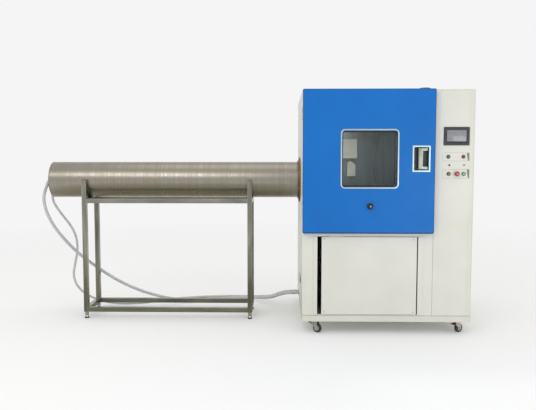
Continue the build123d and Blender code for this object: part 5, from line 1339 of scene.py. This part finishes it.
@dataclass
class StandDetails:
    """Weld beads and plastic plugs of the tube's stand."""

    posts: tuple[Flat, ...] = ((-1919.0, 518.0), (-1919.0, 882.0), (-450.0, 518.0), (-450.0, 882.0))
    half: float = 20.0
    top: float = 1240.0
    rails: tuple[float, ...] = (60.0, 100.0, 1037.0, 1077.0)

    def welds(self) -> BMesh:
        """Makes a thin bead where each rail meets its post."""
        mesh = bmesh.new()
        for x, y in self.posts:
            inward = 1.0 if x < -1000 else -1.0
            back = 1.0 if y < 700 else -1.0
            for z in self.rails:
                edge = x + inward * self.half
                slab(
                    mesh,
                    (edge - 1.5, y - self.half + 1, z - 1.5), (edge + 1.5, y + self.half - 1, z + 1.5),
                    1.0,
                    2,
                )
                side = y + back * self.half
                slab(
                    mesh,
                    (x - self.half + 1, side - 1.5, z - 1.5), (x + self.half - 1, side + 1.5, z + 1.5),
                    1.0,
                    2,
                )
        return mesh

    def plugs(self) -> BMesh:
        """Makes the black plugs that close the posts."""
        mesh = bmesh.new()
        for x, y in self.posts:
            reach = self.half - 0.4
            slab(mesh, (x - reach, y - reach, self.top - 1.0), (x + reach, y + reach, self.top + 3.0), 1.4, 2)
        return mesh

    def glides(self) -> tuple[BMesh, BMesh]:
        """Makes the feet's lock nuts with their domes, and the rubber pads that they stand on."""
        nuts = bmesh.new()
        pads = bmesh.new()
        for x, y in self.posts:
            nut = [(4.2, 58.5), (13.5, 58.5), (15.0, 57.0), (15.0, 48.0), (13.5, 46.5), (4.2, 46.5), (4.2, 58.5)]
            lathe(nuts, nut, (x, y, 0.0), (0, 0, 1), 6)
            dome = [(4.2, 32.0), (9.0, 30.0), (14.5, 24.0), (17.0, 15.0), (17.2, 12.2), (4.2, 12.2), (4.2, 32.0)]
            lathe(nuts, dome, (x, y, 0.0), (0, 0, 1), 32)
            pad = [(0.0, 0.0), (18.0, 0.0), (19.5, 2.0), (19.5, 10.0), (18.0, 12.1), (0.0, 12.1)]
            lathe(pads, pad, (x, y, 0.0), (0, 0, 1), 32)
        return nuts, pads

    def build(self, shop: Shop) -> None:
        """Puts the beads, plugs and feet on the stand."""
        nuts, pads = self.glides()
        shop.piece("foot_nuts", nuts, Finishes.CHROME)
        shop.piece("foot_pads", pads, Finishes.SEAL)
        shop.piece("stand_welds", self.welds(), Finishes.POST)
        shop.piece("stand_plugs", self.plugs(), Finishes.BLACK)


@dataclass
class Casters:
    """Hub caps and axle nuts of the four casters."""

    kingpins: dict[str, tuple[float, float, float]] = field(
        default_factory=lambda: {
            "front_left": (106.0, 112.0, -38.0),
            "front_right": (1272.0, 112.0, 35.0),
            "rear_left": (106.0, 1323.0, 20.0),
            "rear_right": (1272.0, 1323.0, -15.0),
        }
    )
    trail: float = 28.0
    radius: float = 37.5
    half_width: float = 14.0
    half_fork: float = 18.5

    def build(self, shop: Shop) -> None:
        """Puts hub caps on the wheels and nuts on the forks."""
        for corner, (x, y, yaw) in self.kingpins.items():
            turn = math.radians(yaw)
            centre = Vector((x + self.trail * math.cos(turn), y + self.trail * math.sin(turn), self.radius))
            axle = Vector((-math.sin(turn), math.cos(turn), 0.0))
            hub = bmesh.new()
            nuts = bmesh.new()
            for side in (-1.0, 1.0):
                out = axle * side
                lathe(
                    hub,
                    [(7.0, 0.9), (20.0, 0.9), (23.0, 0.5), (24.5, -0.4), (7.0, -0.4), (7.0, 0.9)],
                    tuple(centre + out * self.half_width),
                    tuple(out),
                    32,
                )
                lathe(
                    nuts,
                    [(0.0, 5.0), (3.5, 5.0), (4.2, 4.2), (4.2, 3.2), (7.4, 3.2), (8.0, 2.4), (8.0, -0.3), (0.0, -0.3)],
                    tuple(centre + out * self.half_fork),
                    tuple(out),
                    6,
                )
            shop.piece("hub_caps_" + corner, hub, Finishes.GREY, "wheel_" + corner)
            shop.piece("axle_nuts_" + corner, nuts, Finishes.CHROME, "fork_" + corner, smooth=20.0)


@dataclass
class ChamberLamp:
    """Round lamp in the chamber's ceiling, behind glass, and its light."""

    x: float = 300.0
    y: float = 520.0
    ceiling: float = 1900.0
    radius: float = 62.0
    border: float = 14.0
    power: float = 9.0

    def build(self, shop: Shop) -> None:
        """Makes the lamp's rim and lens, and hangs its light below it."""
        edge = self.radius
        inner = edge - self.border
        place = (self.x, self.y, self.ceiling)
        bowl = [(inner, 14.0), (edge - 4, 14.0), (edge, 10.0), (edge, 0.0), (inner, 0.0), (inner, 14.0)]
        rim = turned(bowl, place, (0, 0, -1), 48)
        shop.piece("chamber_lamp_rim", rim, Finishes.CHROME)
        dome = [(0.0, 16.0), (edge * 0.4, 15.0), (inner, 10.0), (inner, 1.0), (0.0, 1.0)]
        lens = turned(dome, place, (0, 0, -1), 48)
        shop.piece("chamber_lamp_lens", lens, Finishes.LAMP_GLASS)
        data = bpy.data.lights.new("chamber_lamp", "AREA")
        data.shape, data.size, data.energy = "DISK", 0.24, self.power
        glow = put("chamber_lamp", data)
        glow.location = shop.at(self.x, self.y, self.ceiling - 30)


def main() -> None:
    """Builds the chamber piece by piece."""
    logging.basicConfig(level=logging.INFO, format="%(name)s: %(message)s")
    for thing in list(bpy.data.objects):
        bpy.data.objects.remove(thing)
    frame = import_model()
    shop = Shop(frame)
    parts: list[Any] = [
        Studio(),
        Frame(),
        Hoses(),
        DoorRimShade(),
        WindowSurround(),
        HandleSet(),
        WiperKnob(),
        OperatorPanel(),
        Fasteners(),
        SidePull(),
        TubeDetails(),
        StandDetails(),
        Casters(),
        ChamberLamp(),
    ]
    for part in parts:
        part.build(shop)


if __name__ == "__main__":
    main()
